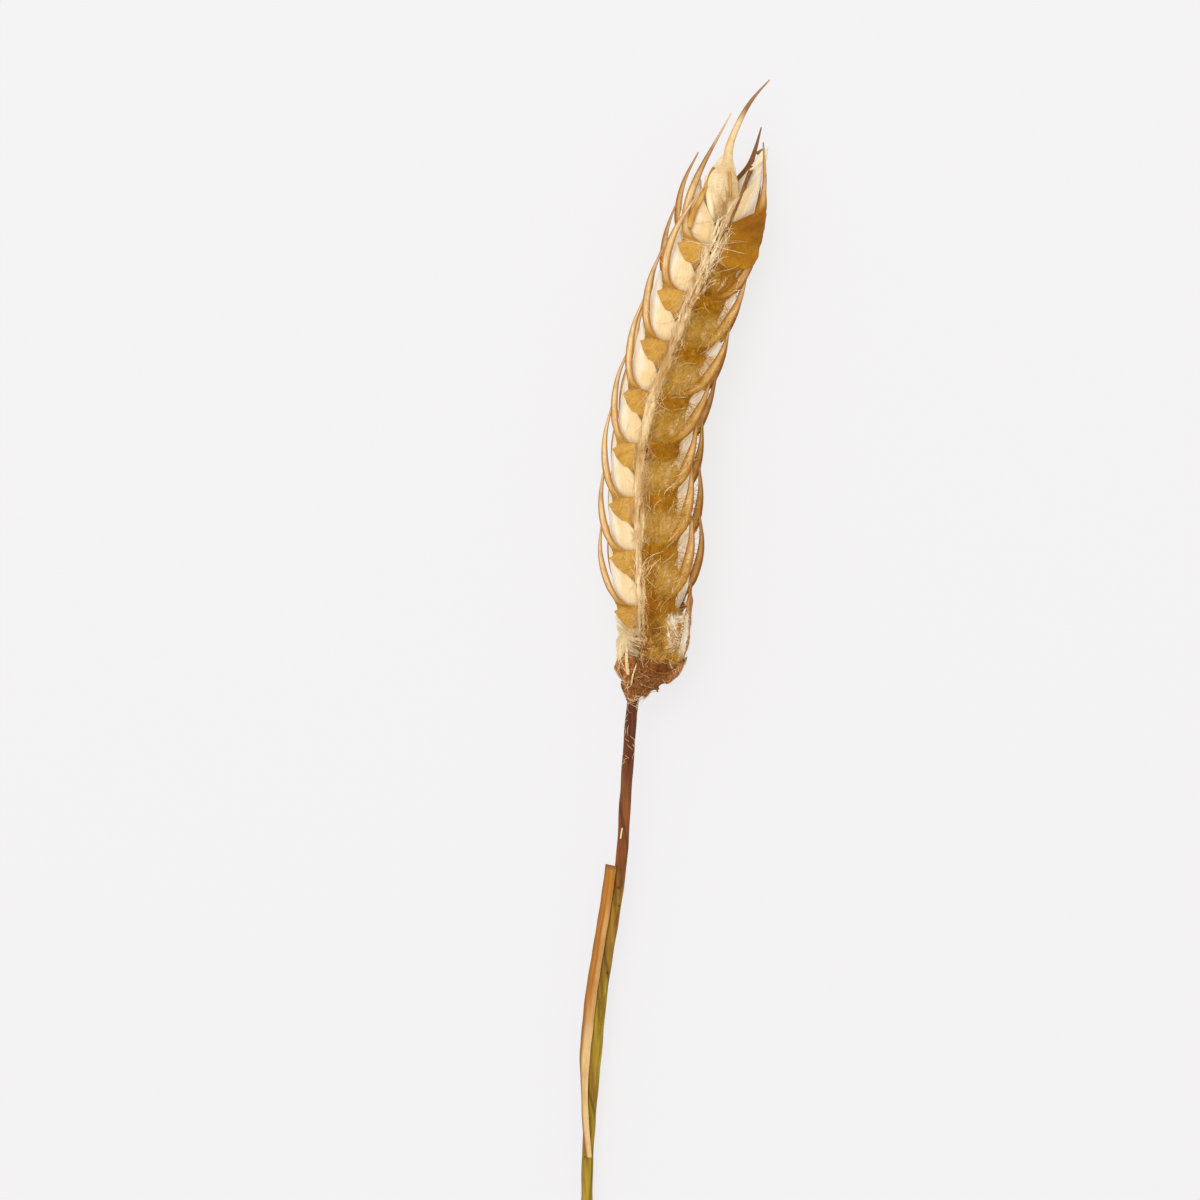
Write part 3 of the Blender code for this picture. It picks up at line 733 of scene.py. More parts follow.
def husk_place(node, rows, tooth_size, awn_wider, station, hand, side, to_points):
    """Where a husk's point goes, and how it looks there, from its shares across and along."""
    numbered = np.column_stack((np.arange(len(rows)), np.array(rows)))
    last = len(rows) - 1
    in_a_row = tooth_size > 0
    awn_span = BROAD_HUSK_AWN_SPAN if node == BROAD_HUSK else AWN_SPAN
    sway, longer, tooth_vary = rng.uniform(*HUSK_VARIETY)
    waves = rng.uniform(0.0, 2 * math.pi, 3)
    tone = rng.uniform(-0.1, 0.12) + LOW_HUSKS_BROWNER * ease(station, 24.0, 5.0)
    tone = tone + (BROAD_HUSK_BROWNER if node == BROAD_HUSK else 0.0)
    browner = rng.uniform(-0.15, 0.2)
    offset = rng.uniform(0.0, 50.0)
    shades = np.array(AWN_SHADES.get(node, AWN_SHADES["usual"]))

    def place(across, share):
        row = last * np.interp(share, *zip(*HUSK_STEP_PLACES))
        ends = read_columns(numbered, row)
        awn = ease(row, last * awn_span[0], last * awn_span[1])
        tip = np.clip(row / last - 0.6, 0.0, 0.4) / 0.4
        narrow = (1.0 + awn_wider * awn) * (1.0 - AWN_POINT_NARROWER * tip**4)
        if not in_a_row:
            narrow = narrow * (1 + TIP_HUSK_WIDER * (1 - awn) * ease(row, 0.5, 2.0))
        spot = 0.5 + (across - 0.5) * narrow
        right, along, front = (a + spot * (b - a) for a, b in zip(ends[0:3], ends[3:6]))
        front = front + ends[6] * 4 * across * (1 - across)
        # the ragged rim, the fine ribs and the fold of the awn
        rim = np.sin(6.3 * row + waves[0]) + np.sin(11.0 * row + waves[1])
        right = right + RAGGED_EDGE * rim * (1 - awn) * across**3
        along = along + RAGGED_RIM * rim * (1 - awn) * (1 - across) ** 2
        front = front + RIB_HEIGHT * (1 - awn) * np.cos(2 * math.pi * RIB_COUNT * across)
        front = front + WRINKLE_HEIGHT * (1 - awn) * np.sin(7.0 * along + 6.0 * across + waves[2])
        front = front + AWN_FOLD * awn * (1 - tip) * (1 - np.abs(2 * across - 1))
        if in_a_row:
            # the belly that covers the floret below, and the inner edge that meets the ridge
            belly = np.sin(math.pi * np.clip(row / 3.8, 0, 1)) * across**2
            right = right + BELLY * belly - INNER_REACH * (1 - across) ** 2 * (1 - awn)
            front = front - BELLY_LOWER * belly
            tooth = tooth_size * tooth_vary * np.clip(1 - np.abs(row - TOOTH_ROW) / TOOTH_HALF_WIDTH, 0, 1)
            right = right + TOOTH_REACH * tooth * across**5
            along = along + TOOTH_LIFT * tooth * across**5
        along, lean, rise = drawn_out(node, along, row / last)
        right = right + sway * tip**2 - lean
        front = front + rise
        along = along + longer * tip
        points = to_points(station + along, hand * right, side * front)
        width = np.hypot(ends[3] - ends[0], ends[5] - ends[2])
        brown, pale = (np.interp(row / last, shades[:, 0], shades[:, k]) for k in (1, 2))
        brown = np.clip(brown + browner * tip, 0.0, 1.0)
        upper_rim = ease(row, 3.3, 4.6) * (1 - awn)
        marks = {
            "lie": spread(across * width, along, offset),
            "look": spread(awn, np.abs(2 * across - 1), tone),
            "shade": spread(brown, pale, upper_rim),
        }
        return points, marks

    return place


def add_husk(name, node, finish, rows, tooth_size, awn_wider, station, hand, side, to_points):
    place = husk_place(node, rows, tooth_size, awn_wider, station, hand, side, to_points)
    mesh = shaped_sheet(name, HUSK_COLUMNS, HUSK_STEPS, place, turn_over=hand * side < 0)
    return add_piece(name, mesh, finish, node, HUSK_THICKNESS)


def floret_place(node, station, hand, size, length):
    offset = rng.uniform(0.0, 50.0)

    def place(share, angle):
        # more of the ball's meridians lie on the outer side, where the pleats are
        angle = np.sign(angle) * math.pi * (np.abs(angle) / math.pi) ** 1.5
        pleat = np.cos(PLEATS * angle + 1.5 * np.sin(3 * angle + offset))
        along = places_in(FLORET_SECTIONS, share)
        inner, outer, depth = read_columns(FLORET_SECTIONS, along)
        inner = inner - read_table(SKIN_UNDERLAP, along)
        at_a_pole = (share < POLE) | (share > 1 - POLE)
        widest = np.where(at_a_pole, 0.0, depth * np.sqrt(np.maximum(0.0, 1 - (inner / outer) ** 2)))
        front = widest * np.sin(angle)
        bulge = outer * np.sqrt(1 - (front / depth) ** 2)
        pleated = ease(along, 1.0, 4.0) * ease(along, 12.5, 9.5)
        bulge = bulge + PLEAT_DEPTH * (pleat - 1) * pleated
        slope = SKIN_SLOPE * ease(along, 7.0, 10.5) * (1 - np.abs(np.sin(angle)) ** 2)
        right = np.where(np.cos(angle) < 0, inner - slope, np.maximum(bulge, inner))
        right = np.where(at_a_pole, (inner + outer) / 2, right)
        right = inner + (right - inner) * size
        # warm tint: partly its own, partly painted shade by the ridge, in pleat valleys and at the foot
        towards_ridge = ease(np.abs(front), 2.6, 5.8)
        warm_tint_and_shade = 0.7 * towards_ridge + 0.15 * (0.5 - 0.5 * pleat) + 0.5 * ease(along, 5.0, 1.0)
        look = spread(warm_tint_and_shade, ease(front, -2.0, 1.0), ease(right, 3.6, 5.2))
        along = drawn_out(node, along, share)[0] * length
        points = row_points(station + along, hand * right, front * size)
        return points, {"lie": spread(5.5 * angle, along, offset), "look": look}

    return place


def add_floret(name, node, finish, station, hand, size=1.0, length=1.0):
    place = floret_place(node, station, hand, size, length)
    mesh = shaped_ball(name, FLORET_ANGLES, FLORET_STEPS, place, turn_over=hand > 0)
    return add_piece(name, mesh, finish, node)


def add_row(row, hand, straw, chaff, last_chaff):
    """A row of spikelets, with a lone floret at its foot."""
    basal = (BASAL_STATION, hand, BASAL_SIZES[row], BASAL_LENGTH)
    pieces = [add_floret(f"chaff_{row}_basal", f"{row}_basal_floret", chaff, *basal)]
    for number, station in enumerate(STATIONS[row], start=1):
        for face, side in (("front", 1), ("back", -1)):
            node = f"{row}_{face}_glume_{number}"
            rows = LAST_RIGHT_ROWS if node == BROAD_HUSK else HUSK_ROWS
            layout = (rows, ROW_TEETH[row], ROW_AWNS[row], station, hand, side, row_points)
            pieces.append(add_husk(f"husk_{row}_{face}_{number}", node, straw, *layout))
        finish = last_chaff if number == len(STATIONS[row]) else chaff
        pieces.append(add_floret(f"chaff_{row}_{number}", f"{row}_floret_{number}", finish, station, hand))
    return pieces


def add_terminal_spikelet(straw, chaff):
    def place(share, angle):
        along = places_in(TERMINAL_FLORET_SECTIONS, share)
        middle, width, depth = read_columns(TERMINAL_FLORET_SECTIONS, along)
        inside = (share > POLE) & (share < 1 - POLE)
        pleated = 1 + TERMINAL_PLEAT_SHARE * np.cos(PLEATS * angle)
        right = middle + np.where(inside, width, 0.0) * pleated * np.cos(angle)
        front = np.where(inside, depth, 0.0) * pleated * np.sin(angle)
        lie = spread(right * 2, along, 7.0)
        look = spread(0.5 * ease(np.abs(right), 1.0, 2.4), 0.3, 0.0)
        return ear_points(TERMINAL_STATION + along, right, front), {"lie": lie, "look": look}

    mesh = shaped_ball("chaff_terminal", FLORET_ANGLES, FLORET_STEPS, place)
    pieces = [add_piece("chaff_terminal", mesh, chaff, "terminal_floret")]
    for face, rows, side in (("front", TERMINAL_FRONT_ROWS, 1), ("back", TERMINAL_BACK_ROWS, -1)):
        layout = (rows, 0.0, TERMINAL_AWNS, TERMINAL_STATION, 1, side, ear_points)
        pieces.append(add_husk(f"husk_terminal_{face}", f"terminal_{face}_glume", straw, *layout))
    return pieces


# Stem, leaf, bracts and the fibre ridge

STEM_ANGLES = 32
STEM_STEPS = 420
WRAP_PITCH = 23.0
WRAP_STEP = 0.06
STEM_LUMPS = 0.03


def add_stem():
    end = COLLAR_DISTANCE + RACHIS_LENGTH
    cap = 4.0 / STEM_STEPS

    def place(share, angle):
        distance = end * np.clip((share - cap) / (1 - cap), 0.0, 1.0)
        radius = read_table(RACHIS_RADIUS, distance - COLLAR_DISTANCE)
        turned = 2 * math.pi * distance / WRAP_PITCH - angle + 0.5 * np.sin(distance * 0.23)
        turn = (turned / (2 * math.pi)) % 1.0
        radius = radius + WRAP_STEP * (turn - 0.6) * ease(turn, 0.0, 0.06)
        radius = radius + STEM_LUMPS * np.sin(distance * 0.9 + 2 * np.sin(angle))
        radius = radius * np.clip(share / cap, 0.0, 1.0) * np.clip((1 - share) * STEM_STEPS, 0, 1)
        points = stem_points(distance, radius * np.cos(angle), radius * np.sin(angle))
        # the wrap line, the side of it that gets painted light, and the cut face
        look = spread(np.cos(turned), np.sin(turned), ease(share, cap, cap * 0.9))
        return points, {"look": look}

    mesh = shaped_ball("wrapped_stem", STEM_ANGLES, STEM_STEPS, place)
    return add_piece("wrapped_stem", mesh, stem_finish(), "culm", subdivide=0)


LEAF_COLUMNS = 10
LEAF_STEPS = 110
LEAF_THICKNESS = 0.18
LEAF_TOWARDS_STEM = 0.4
LEAF_CURL = 0.22
LEAF_WAVE = 0.03
# How strong the painted highlight is, a pale strip along the leaf's side by the stem
LEAF_HIGHLIGHT_BY_STEM = 0.45
LEAF_VEINS = 4
LEAF_VEIN_HEIGHT = 0.025


def add_leaf():
    first, last = LEAF_ROWS[0][0], LEAF_ROWS[-1][0]

    def place(across, share):
        distance = places_in(LEAF_ROWS, share)
        sideways, up, width, tilt = read_columns(LEAF_ROWS, distance)
        reach = (across - 0.5) * width * (1 + LEAF_WAVE * np.sin(distance * 1.3))
        reach = reach + LEAF_TOWARDS_STEM * across**2
        tilt = np.radians(tilt)
        curl = LEAF_CURL * (1 - (2 * across - 1) ** 2) * ease(distance, first, first + 12)
        veins = LEAF_VEIN_HEIGHT * np.cos(2 * math.pi * LEAF_VEINS * across)
        sideways = sideways + reach * np.cos(tilt) - (curl + veins) * np.sin(tilt)
        up = up + reach * np.sin(tilt) + (curl + veins) * np.cos(tilt)
        lie = spread(across * width, distance, 3.0)
        low_down = ease(distance, 48.0, 36.0) * ease(across, 0.1, 0.5)
        # painted highlight: a pale strip along the side by the stem, while low_down is real bleaching
        highlight_by_the_stem = LEAF_HIGHLIGHT_BY_STEM * ease(distance, 66.0, 57.0) * ease(across, 0.6, 0.8)
        bleached = np.maximum(low_down, highlight_by_the_stem)
        look = spread(1 - across, ease(distance, last - 0.9, last - 0.2), bleached)
        return stem_points(distance, sideways, up), {"lie": lie, "look": look}

    mesh = shaped_sheet("leaf_strip", LEAF_COLUMNS, LEAF_STEPS, place)
    add_piece("leaf_strip", mesh, leaf_finish(), "leaf_sheath", LEAF_THICKNESS)


BRACT_COLUMNS = 44
BRACT_STEPS = 16
BRACT_THICKNESS = 0.2
# Coarse and fine: how deep the tears and the crumples are
TEARS = (0.16, 0.12)
CRUMPLES = (0.12, 0.06)
BRACT_BULGE = 0.35
BRACT_LIP = 0.25


def add_bract(side, finish):
    """A torn bract. Each goes its own way: its edges are ragged and its skin is crumpled."""
    edges, flare, red, edge_darkness, node = COLLAR_BRACTS[side]
    waves = rng.uniform(0.0, 2 * math.pi, 4)
    offset = rng.uniform(0.0, 50.0)

    def place(across, share):
        degrees = places_in(edges, across)
        angle = np.radians(degrees)
        lower, upper = read_columns(edges, degrees)
        torn = TEARS[0] * np.sin(0.21 * degrees + waves[0])
        torn = torn + TEARS[1] * np.sin(0.47 * degrees + waves[1])
        along = lower + torn * (1 - share) + share * (upper + torn - lower)
        crumple = CRUMPLES[0] * np.sin(8 * angle + 2.2 * along + waves[2])
        crumple = crumple + CRUMPLES[1] * np.sin(21 * angle - 1.4 * along + waves[3])
        bulge = BRACT_BULGE * np.sin(math.pi * across) * share
        lip = BRACT_LIP * ease(share, 0.8, 1.0)
        radius = read_table(flare, along) + crumple + bulge + lip
        points = ear_points(along, radius * np.sin(angle), radius * np.cos(angle))
        lie = spread(angle * radius, along, offset)
        edge = np.maximum(np.abs(2 * across - 1), np.abs(2 * share - 1))
        return points, {"lie": lie, "look": spread(edge, edge_darkness, red)}

    name = f"torn_bract_{side}"
    mesh = shaped_sheet(name, BRACT_COLUMNS, BRACT_STEPS, place)
    return add_piece(name, mesh, finish, node, BRACT_THICKNESS)


TUFT_ANGLES = 48
TUFT_STEPS = 36
# Coarse and fine lumps, as a share of the tuft's size
LUMPS = (0.05, 0.03)


def add_tuft(side, finish):
    """A lump of wool and chaff at the foot of a row."""
    middle, half = TUFTS[side]
    waves = rng.uniform(0.0, 2 * math.pi, 2)

    def place(share, angle):
        turn = math.pi * share
        lump = 1 + LUMPS[0] * np.sin(5 * angle + 4 * turn + waves[0]) * np.sin(turn)
        lump = lump + LUMPS[1] * np.sin(13 * angle - 9 * turn + waves[1]) * np.sin(turn)
        right = middle[0] + half[0] * lump * np.sin(turn) * np.cos(angle)
        front = middle[2] + half[2] * lump * np.sin(turn) * np.sin(angle)
        along = middle[1] - half[1] * np.cos(turn)
        lie = spread(half[0] * angle, along, 11.0)
        look = spread(np.full(angle.shape, 0.8), 1.0, 0.1)
        return ear_points(along, right, front), {"lie": lie, "look": look}

    name = f"chaff_{side}_tuft"
    mesh = shaped_ball(name, TUFT_ANGLES, TUFT_STEPS, place)
    return add_piece(name, mesh, finish, subdivide=0)


RIDGE_STRANDS = 7
RIDGE_STRAND_STEPS = 110
RIDGE_STRAND_ANGLES = 8
RIDGE_HALF_WIDTH = 0.5
RIDGE_WIDER_NEAR_TIP = 0.15
RIDGE_HALF_HEIGHT = 0.25
# Each strand has its own pitch, half width and half depth, and wander: least and most
STRAND_PITCH = (30.0, 60.0)
STRAND_SIZES = ((0.22, 0.08), (0.42, 0.15))
STRAND_WANDER = (0.03, 0.14)


def add_ridge(name, node, side, last, deeper, finish):
    """Flat strands that run side by side up the ear and cross over each other."""
    first = RIDGE_HEIGHT[0][0]
    whole = bmesh.new()
    for strand in range(RIDGE_STRANDS):
        turns = 2 * math.pi * strand / RIDGE_STRANDS
        pitch = rng.uniform(*STRAND_PITCH)
        width, depth = rng.uniform(*STRAND_SIZES)
        wander = rng.uniform(*STRAND_WANDER)

        def place(share, angle):
            along = first + share * (last - first)
            swing = turns + 2 * math.pi * along / pitch
            wide = RIDGE_HALF_WIDTH + RIDGE_WIDER_NEAR_TIP * ease(along, 60.0, 78.0)
            right = wide * np.sin(swing) + wander * np.sin(along * 0.9 + 3 * turns)
            front = read_table(RIDGE_HEIGHT, along) - deeper + RIDGE_HALF_HEIGHT * np.cos(swing)
            slim = np.sin(math.pi * np.clip(share, 0, 1)) ** 0.25
            right = right + width * slim * np.cos(angle)
            front = front + depth * slim * np.sin(angle)
            return row_points(along, right, side * front), {}

        mesh = shaped_ball("strand", RIDGE_STRAND_ANGLES, RIDGE_STRAND_STEPS, place, turn_over=side > 0)
        whole.from_mesh(mesh)
        bpy.data.meshes.remove(mesh)
    return add_piece(name, finished_mesh(name, whole, {}), finish, node, subdivide=0)


# Loose fibres

OUTSIDE = 14.0
FIBRE_CLEARANCE = 0.05
FIBRE_BEND = 0.12
LOWEST_FIBRE = 0.08
HIGHEST_FIBRE = 14.8


def surface_of(pieces):
    """The faces of some pieces, in millimetres, to lay fibres on."""
    points, faces = [], []
    for piece in pieces:
        first = len(points)
        points.extend(vertex.co / MM for vertex in piece.data.vertices)
        faces.extend([first + i for i in polygon.vertices] for polygon in piece.data.polygons)
    return BVHTree.FromPolygons(points, faces)


def heights_over(surface, along, angle):
    """How far the surface is from the middle line, looking in from outside."""
    outside = ear_points(along, OUTSIDE * np.sin(angle), OUTSIDE * np.cos(angle)) / MM
    inside = ear_points(along, 0.0, 0.0) / MM
    heights = np.full(along.shape, STEM_RADIUS)
    for spot in np.ndindex(along.shape):
        start = Vector(outside[spot])
        distance = surface.ray_cast(start, (Vector(inside[spot]) - start).normalized())[3]
        if distance is not None:
            heights[spot] = max(OUTSIDE - distance, STEM_RADIUS)
    return heights


BED_STEP = 0.35
BED_ANGLE_STEP = 2.5
BED_FILLINGS = 10
BED_SINK = 0.07
BED_SINK_OVER_A_RIM = 0.25
BED_THICKNESS = 0.12

# The upper rim of a row's husk: (outward, along)
HUSK_RIM = ((1.1, 5.4), (3.0, 5.4), (4.7, 6.2), (6.1, 8.6))
# Felt deepens as it comes this near below a rim, and between these places near the tip
DEEP_BELOW_RIM = (4.4, 1.6)
DEEP_NEAR_TIP = (67.5, 70.0)


def below_rim(along, angle):
    """How far places on the right row lie below the husk rim that is next above them."""
    rim = read_table(HUSK_RIM, 6.2 * np.sin(angle))
    below = [station + rim - along for station in STATIONS["right"]]
    return np.min([np.where(drop < 0, 99.0, drop) for drop in below], axis=0)


def band_shade(along, angle):
    """1 just below a rim of the right row and all the way up from the broad husk, and 0 between."""
    return np.maximum(ease(below_rim(along, angle), *DEEP_BELOW_RIM), ease(along, *DEEP_NEAR_TIP))


def add_bed(name, surface, finish, along, angle):
    """A woolly skin that fills the hollows of the right row and lies just under its tops."""
    steps = round((along[1] - along[0]) / BED_STEP)
    columns = round((angle[1] - angle[0]) / BED_ANGLE_STEP)
    places, angles = np.meshgrid(
        np.linspace(*along, steps + 1), np.radians(np.linspace(*angle, columns + 1)), indexing="ij"
    )
    height = heights_over(surface, places, angles)
    for _ in range(BED_FILLINGS):
        wider = np.pad(height, 1, mode="edge")
        around = wider[:-2, 1:-1] + wider[2:, 1:-1] + wider[1:-1, :-2] + wider[1:-1, 2:]
        height = np.maximum(height, around / 4)
    below = below_rim(places, angles)
    height = height - BED_SINK - BED_SINK_OVER_A_RIM * ease(below, 5.5, 8.0)
    shade = band_shade(places, angles)

    def place(across, share):
        spot = (np.round(share * steps).astype(int), np.round(across * columns).astype(int))
        at, turn, radius = places[spot], angles[spot], height[spot]
        points = ear_points(at, radius * np.sin(turn), radius * np.cos(turn))
        marks = {
            "lie": spread(6.0 * turn, at, 5.0),
            "look": spread(np.full(at.shape, 0.4), 1.0, 0.0),
            "shade": spread(shade[spot], 0.0, 0.0),
        }
        return points, marks

    mesh = shaped_sheet(name, columns, steps, place)
    return add_piece(name, mesh, finish, None, BED_THICKNESS, subdivide=0)


def add_threads(name, finish, lines, radii, roundness):
    """Threads along some lines of points, with the radius in millimetres at each point."""
    curve = bpy.data.curves.new(name, "CURVE")
    curve.dimensions = "3D"
    curve.bevel_depth = MM
    curve.bevel_resolution = roundness
    for line, radius in zip(lines, radii):
        spline = curve.splines.new("POLY")
        spline.points.add(len(line) - 1)
        spline.points.foreach_set("co", np.column_stack((line, np.ones(len(line)))).ravel())
        spline.points.foreach_set("radius", radius)
    add_piece(name, curve, finish, subdivide=0)


def add_fibres(
    name, surface, finish, count, points, along, angle, heading, length, thickness, lift, bands=(0, 1)
):
    """Fine tapering fibres that lie over the ear's surface, with their ends a little loose.

    They lie anywhere in the ranges along the ear and round it from its front. Heading is the mean
    and the spread of the angle from the ear's length towards its right. Bands is the range of
    band_shade in which they lie."""
    shares = np.linspace(-0.5, 0.5, points)
    starts = rng.uniform(*along, (count, 1))
    angles = np.radians(rng.uniform(*angle, (count, 1)))
    shade = band_shade(starts, angles)
    kept = (shade >= bands[0]) & (shade <= bands[1])
    starts, angles = starts[kept][:, None], angles[kept][:, None]
    count = len(starts)
    way = np.radians(rng.normal(*heading, (count, 1)))
    reach = rng.uniform(*length, (count, 1)) * shares
    bend = rng.normal(0.0, FIBRE_BEND, (count, 1)) * reach**2 + 0.1 * np.sin(2 * reach + 9 * angles)
    radius = heights_over(surface, starts, angles)
    path_along = starts + reach * np.cos(way) - bend * np.sin(way)
    path_angle = angles + (reach * np.sin(way) + bend * np.cos(way)) / radius
    height = heights_over(surface, path_along, path_angle)
    for _ in range(3):
        height[:, 1:-1] = np.maximum(height[:, 1:-1], (height[:, :-2] + height[:, 2:]) / 2)
    height[:, 1:-1] = (height[:, :-2] + 2 * height[:, 1:-1] + height[:, 2:]) / 4
    loose = np.abs(2 * shares) ** 4 * rng.gamma(1.2, lift, (count, 1))
    height = height + FIBRE_CLEARANCE + loose
    path = ear_points(path_along, height * np.sin(path_angle), height * np.cos(path_angle))
    path[..., 2] = np.clip(path[..., 2], LOWEST_FIBRE * MM, HIGHEST_FIBRE * MM)
    radii = rng.uniform(0.65, 1.0, (count, 1)) * thickness * np.cos(0.93 * math.pi * shares) ** 0.4
    add_threads(name, finish, path, radii, roundness=0)


# Single strands: points (along, right, front), and the radius at each end
SINGLE_STRANDS = {
    "brown": (
        (
            ((80.3, 0.9, 6.2), (83, 1.4, 5.7), (87.4, 1.75, 4.7), (90.6, 2.1, 3.6), (93.4, 2.85, 1.6)),
            (0.14, 0.4),
        ),
        (((95.9, 3.5, -0.2), (96.4, 3.9, 0), (96.9, 4.3, 0.1)), (0.3, 0.22)),
    ),
    "pale": (
        (((92.7, 2.3, 2.8), (94.2, 3.6, 2.4), (95.8, 5.1, 1.4)), (0.2, 0.16)),
        (((-21.8, -0.05, 1.05), (-22.7, -0.15, 1.1), (-23.7, -0.25, 1.05)), (0.14, 0.12)),
        (((82.8, -1.4, 3.9), (85, -2.4, 3.6), (87, -3.4, 3.2), (89.6, -4.4, 2.6)), (0.65, 0.5)),
    ),
    "tan": (
        (((9.3, -2.45, 4.4), (6.7, -1.72, 4.55), (4.6, -0.95, 4.4)), (0.3, 0.35)),
        (((7.4, 0.3, 5.2), (5, -0.05, 4.8), (2.9, -0.2, 3.3)), (0.12, 0.16)),
    ),
    "ochre": (
        (
            ((80.5, -4.6, 4.2), (83, -4.8, 4.2), (85.2, -4.45, 3.9), (87.9, -4.1, 3.2), (91.2, -3.8, 2.6)),
            (0.55, 0.4),
        ),
        (((87.2, 0.25, 4.25), (89.3, -0.55, 4.3), (91.3, -1.4, 4.05)), (0.25, 0.3)),
    ),
}
STRAND_STEPS = 16


def add_single_strands(tone, finish):
    share = np.linspace(0.0, 1.0, STRAND_STEPS)
    ends = np.sqrt(np.clip(np.sin(math.pi * np.clip(share, 0.04, 0.96)) * 4, 0, 1))
    lines, radii = [], []
    for route, thickness in SINGLE_STRANDS[tone]:
        numbered = np.column_stack((np.linspace(0.0, 1.0, len(route)), route))
        lines.append(ear_points(*read_columns(numbered, share)))
        radii.append(ends * np.interp(share, (0, 1), thickness))
    add_threads(f"strands_{tone}", finish, lines, radii, roundness=2)


add_camera()
add_light()
add_floor()

fibre = fibre_finish("loose_fibre", (0.93, 0.73, 0.43), (0.60, 0.34, 0.12))
pale_hair = fibre_finish("pale_hair", (0.92, 0.80, 0.55), (0.80, 0.58, 0.28))
white_hair = fibre_finish("white_hair", (0.97, 0.92, 0.80), (0.84, 0.68, 0.42))
gold_felt = fibre_finish("golden_felt", (0.66, 0.38, 0.06), (0.50, 0.24, 0.02))
deep_felt = fibre_finish("deep_felt", (0.48, 0.21, 0.012), (0.34, 0.12, 0.005))
brown_strand = fibre_finish("brown_strand", (0.34, 0.15, 0.04), (0.17, 0.06, 0.02))
ochre_strand = fibre_finish("ochre_strand", (0.66, 0.38, 0.10), (0.46, 0.20, 0.03))
red_felt = fibre_finish("red_felt", (0.44, 0.17, 0.035), (0.20, 0.06, 0.014))
pale_felt = fibre_finish("pale_felt", (0.82, 0.60, 0.26), (0.66, 0.42, 0.12))
left_husk = husk_finish(
    "ochre_husk",
    light=(0.72, 0.41, 0.10),
    deep=(0.55, 0.28, 0.042),
    brown=(0.37, 0.15, 0.014),
    awn_middle=(0.92, 0.68, 0.36),
    awn_edge=(0.50, 0.20, 0.02),
    tip=(0.26, 0.10, 0.03),
)
right_husk = husk_finish(
    "deep_ochre_husk",
    light=(0.56, 0.27, 0.016),
    deep=(0.42, 0.17, 0.006),
    brown=(0.27, 0.09, 0.003),
    awn_middle=(0.76, 0.48, 0.19),
    awn_edge=(0.40, 0.15, 0.012),
    tip=(0.24, 0.085, 0.014),
)
tip_husk = husk_finish(
    "bleached_husk",
    light=(0.93, 0.78, 0.52),
    deep=(0.84, 0.62, 0.32),
    brown=(0.58, 0.32, 0.08),
    awn_middle=(0.88, 0.68, 0.40),
    awn_edge=(0.56, 0.29, 0.06),
    tip=(0.22, 0.09, 0.03),
)
left_floret = floret_finish(
    "cream_chaff",
    bright=(0.94, 0.87, 0.72),
    warm=(0.86, 0.62, 0.31),
    felt=(0.85, 0.66, 0.36),
    deep_felt=(0.68, 0.44, 0.17),
    felt_share=0.1,
    sparkle=0.4,
    glow=0.06,
)
right_floret = floret_finish(
    "felted_chaff",
    bright=(0.98, 0.94, 0.80),
    warm=(0.80, 0.56, 0.20),
    felt=(0.74, 0.46, 0.11),
    deep_felt=(0.56, 0.28, 0.025),
    felt_share=0.95,
    sparkle=1.0,
    glow=0.16,
)
bract = bract_finish()

pieces = [add_stem()]
add_leaf()
pieces += [add_bract(side, bract) for side in COLLAR_BRACTS]
pieces += [add_tuft("right", right_floret), add_tuft("left", left_floret)]
pieces += add_row("right", 1, right_husk, right_floret, left_floret)
pieces += add_row("left", -1, left_husk, left_floret, left_floret)
pieces += add_terminal_spikelet(tip_husk, left_floret)
pieces.append(add_ridge("ridge_strands_front", "front_fibre_ridge", 1, FRONT_RIDGE_END, 0.0, fibre))
pieces.append(
    add_ridge("ridge_strands_back", "back_fibre_ridge", -1, BACK_RIDGE_END, BACK_RIDGE_DEEPER, fibre)
)
pieces.append(add_bed("wool_right_front", surface_of(pieces), right_floret, (9.0, 79.0), (6.0, 58.0)))

surface = surface_of(pieces)
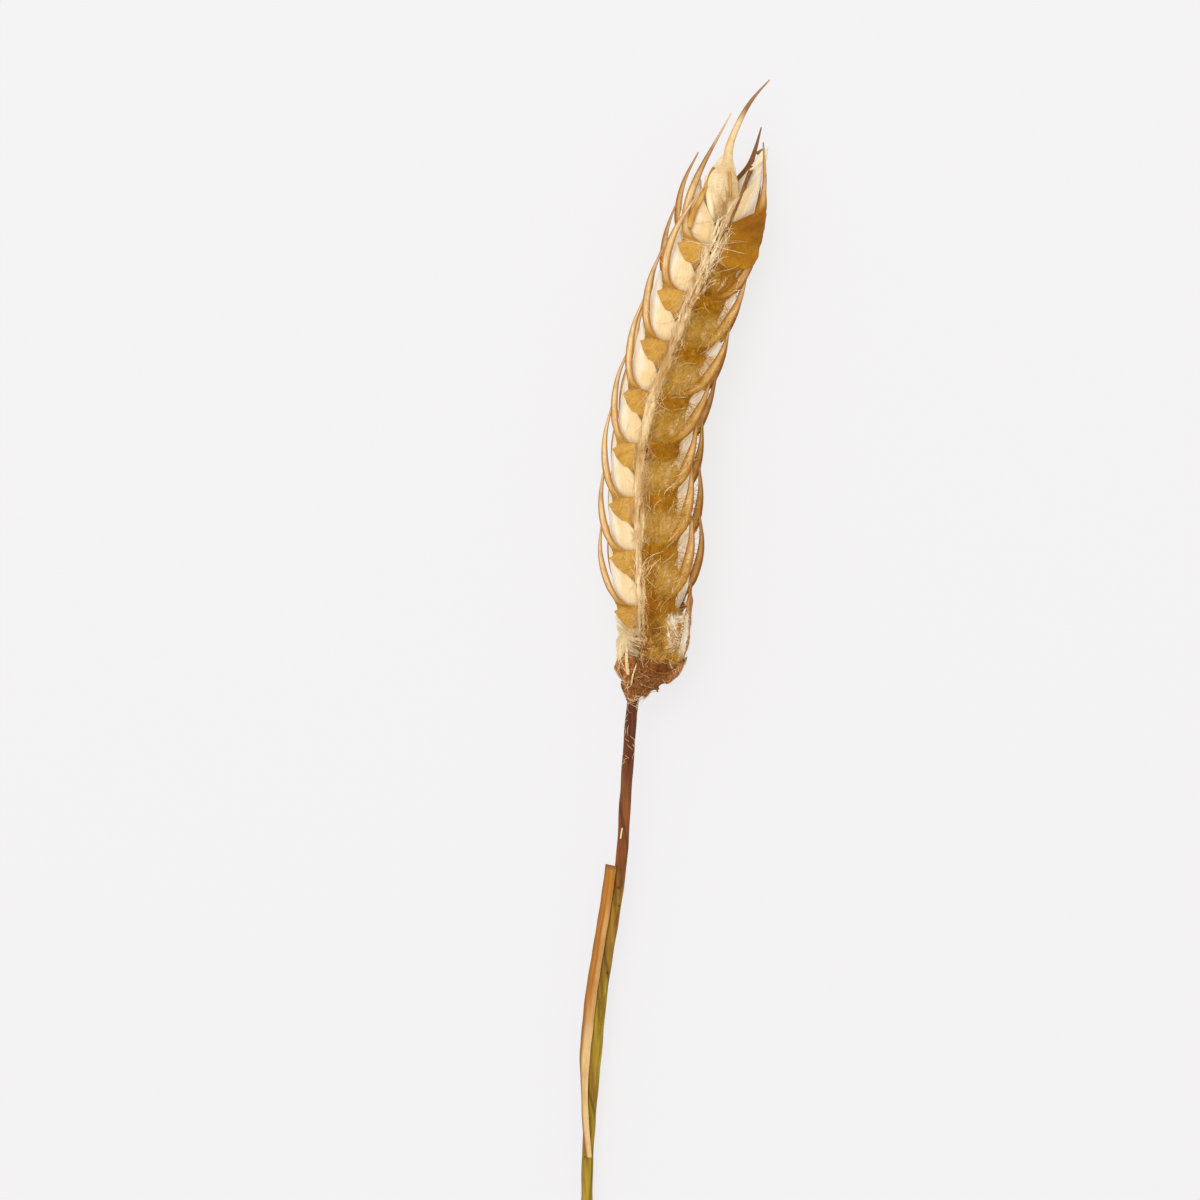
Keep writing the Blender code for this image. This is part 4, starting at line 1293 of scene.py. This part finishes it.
# Name, finish, count, points each, along, round, heading and its spread, length, radius, lift, and
# bands where they don't lie in all of them
for name, *values in (
    ("felt_deep", deep_felt, 3000, 4, (13, 76), (3, 60), (15, 50), (0.8, 2.2), 0.045, 0.03, (0.5, 1)),
    ("felt_golden", gold_felt, 3600, 4, (9, 76), (3, 65), (15, 50), (0.8, 2.2), 0.045, 0.03, (0, 0.7)),
    ("felt_pale", pale_felt, 1700, 4, (8, 76), (3, 80), (25, 45), (0.8, 2.0), 0.035, 0.04, (0, 0.4)),
    ("felt_back", gold_felt, 1500, 4, (5, 86), (105, 176), (15, 50), (0.9, 2.2), 0.05, 0.04),
    ("felt_left", pale_hair, 1200, 4, (8, 12.5), (-110, -4), (0, 60), (0.5, 1.4), 0.045, 0.06),
    ("felt_by_ridge", deep_felt, 700, 5, (11, 27), (5, 22), (10, 45), (1.0, 2.4), 0.05, 0.05),
    ("felt_foot", gold_felt, 900, 4, (8.5, 14), (14, 66), (10, 60), (0.7, 1.9), 0.05, 0.07),
    ("felt_foot_pale", white_hair, 800, 5, (10, 15), (42, 80), (10, 60), (0.8, 1.8), 0.05, 0.06),
    ("felt_middle", red_felt, 700, 6, (2, 13.5), (0, 60), (5, 45), (1.0, 3.0), 0.055, 0.08),
    ("hairs_right", pale_hair, 90, 8, (10, 80), (5, 110), (35, 20), (1.5, 4.0), 0.045, 0.1),
    ("hairs_left", pale_hair, 30, 8, (9, 90), (-170, -8), (-25, 25), (1.5, 4.0), 0.035, 0.1),
    ("hairs_ridge", fibre, 460, 8, (9, 86), (-9, 11), (0, 16), (2.5, 7.0), 0.06, 0.15),
    ("hairs_back", fibre, 180, 8, (10, 80), (171, 189), (0, 16), (2.5, 7.0), 0.06, 0.05),
    ("hairs_fan", pale_hair, 50, 8, (70, 84), (-9, 16), (2, 22), (2.5, 6.0), 0.07, 0.05),
    ("hairs_tip", pale_hair, 24, 8, (78, 92), (-24, 26), (0, 25), (2.0, 4.0), 0.045, 0.1),
    ("hairs_collar", pale_hair, 170, 8, (0, 10), (-180, 180), (0, 60), (1.5, 3.5), 0.045, 0.1),
    ("hairs_stem", pale_hair, 26, 8, (-11, 0), (-60, 80), (0, 50), (0.8, 2.2), 0.035, 0.12),
):
    add_fibres(name, surface, *values)

for tone, finish in (("brown", brown_strand), ("pale", pale_hair), ("tan", fibre), ("ochre", ochre_strand)):
    add_single_strands(tone, finish)
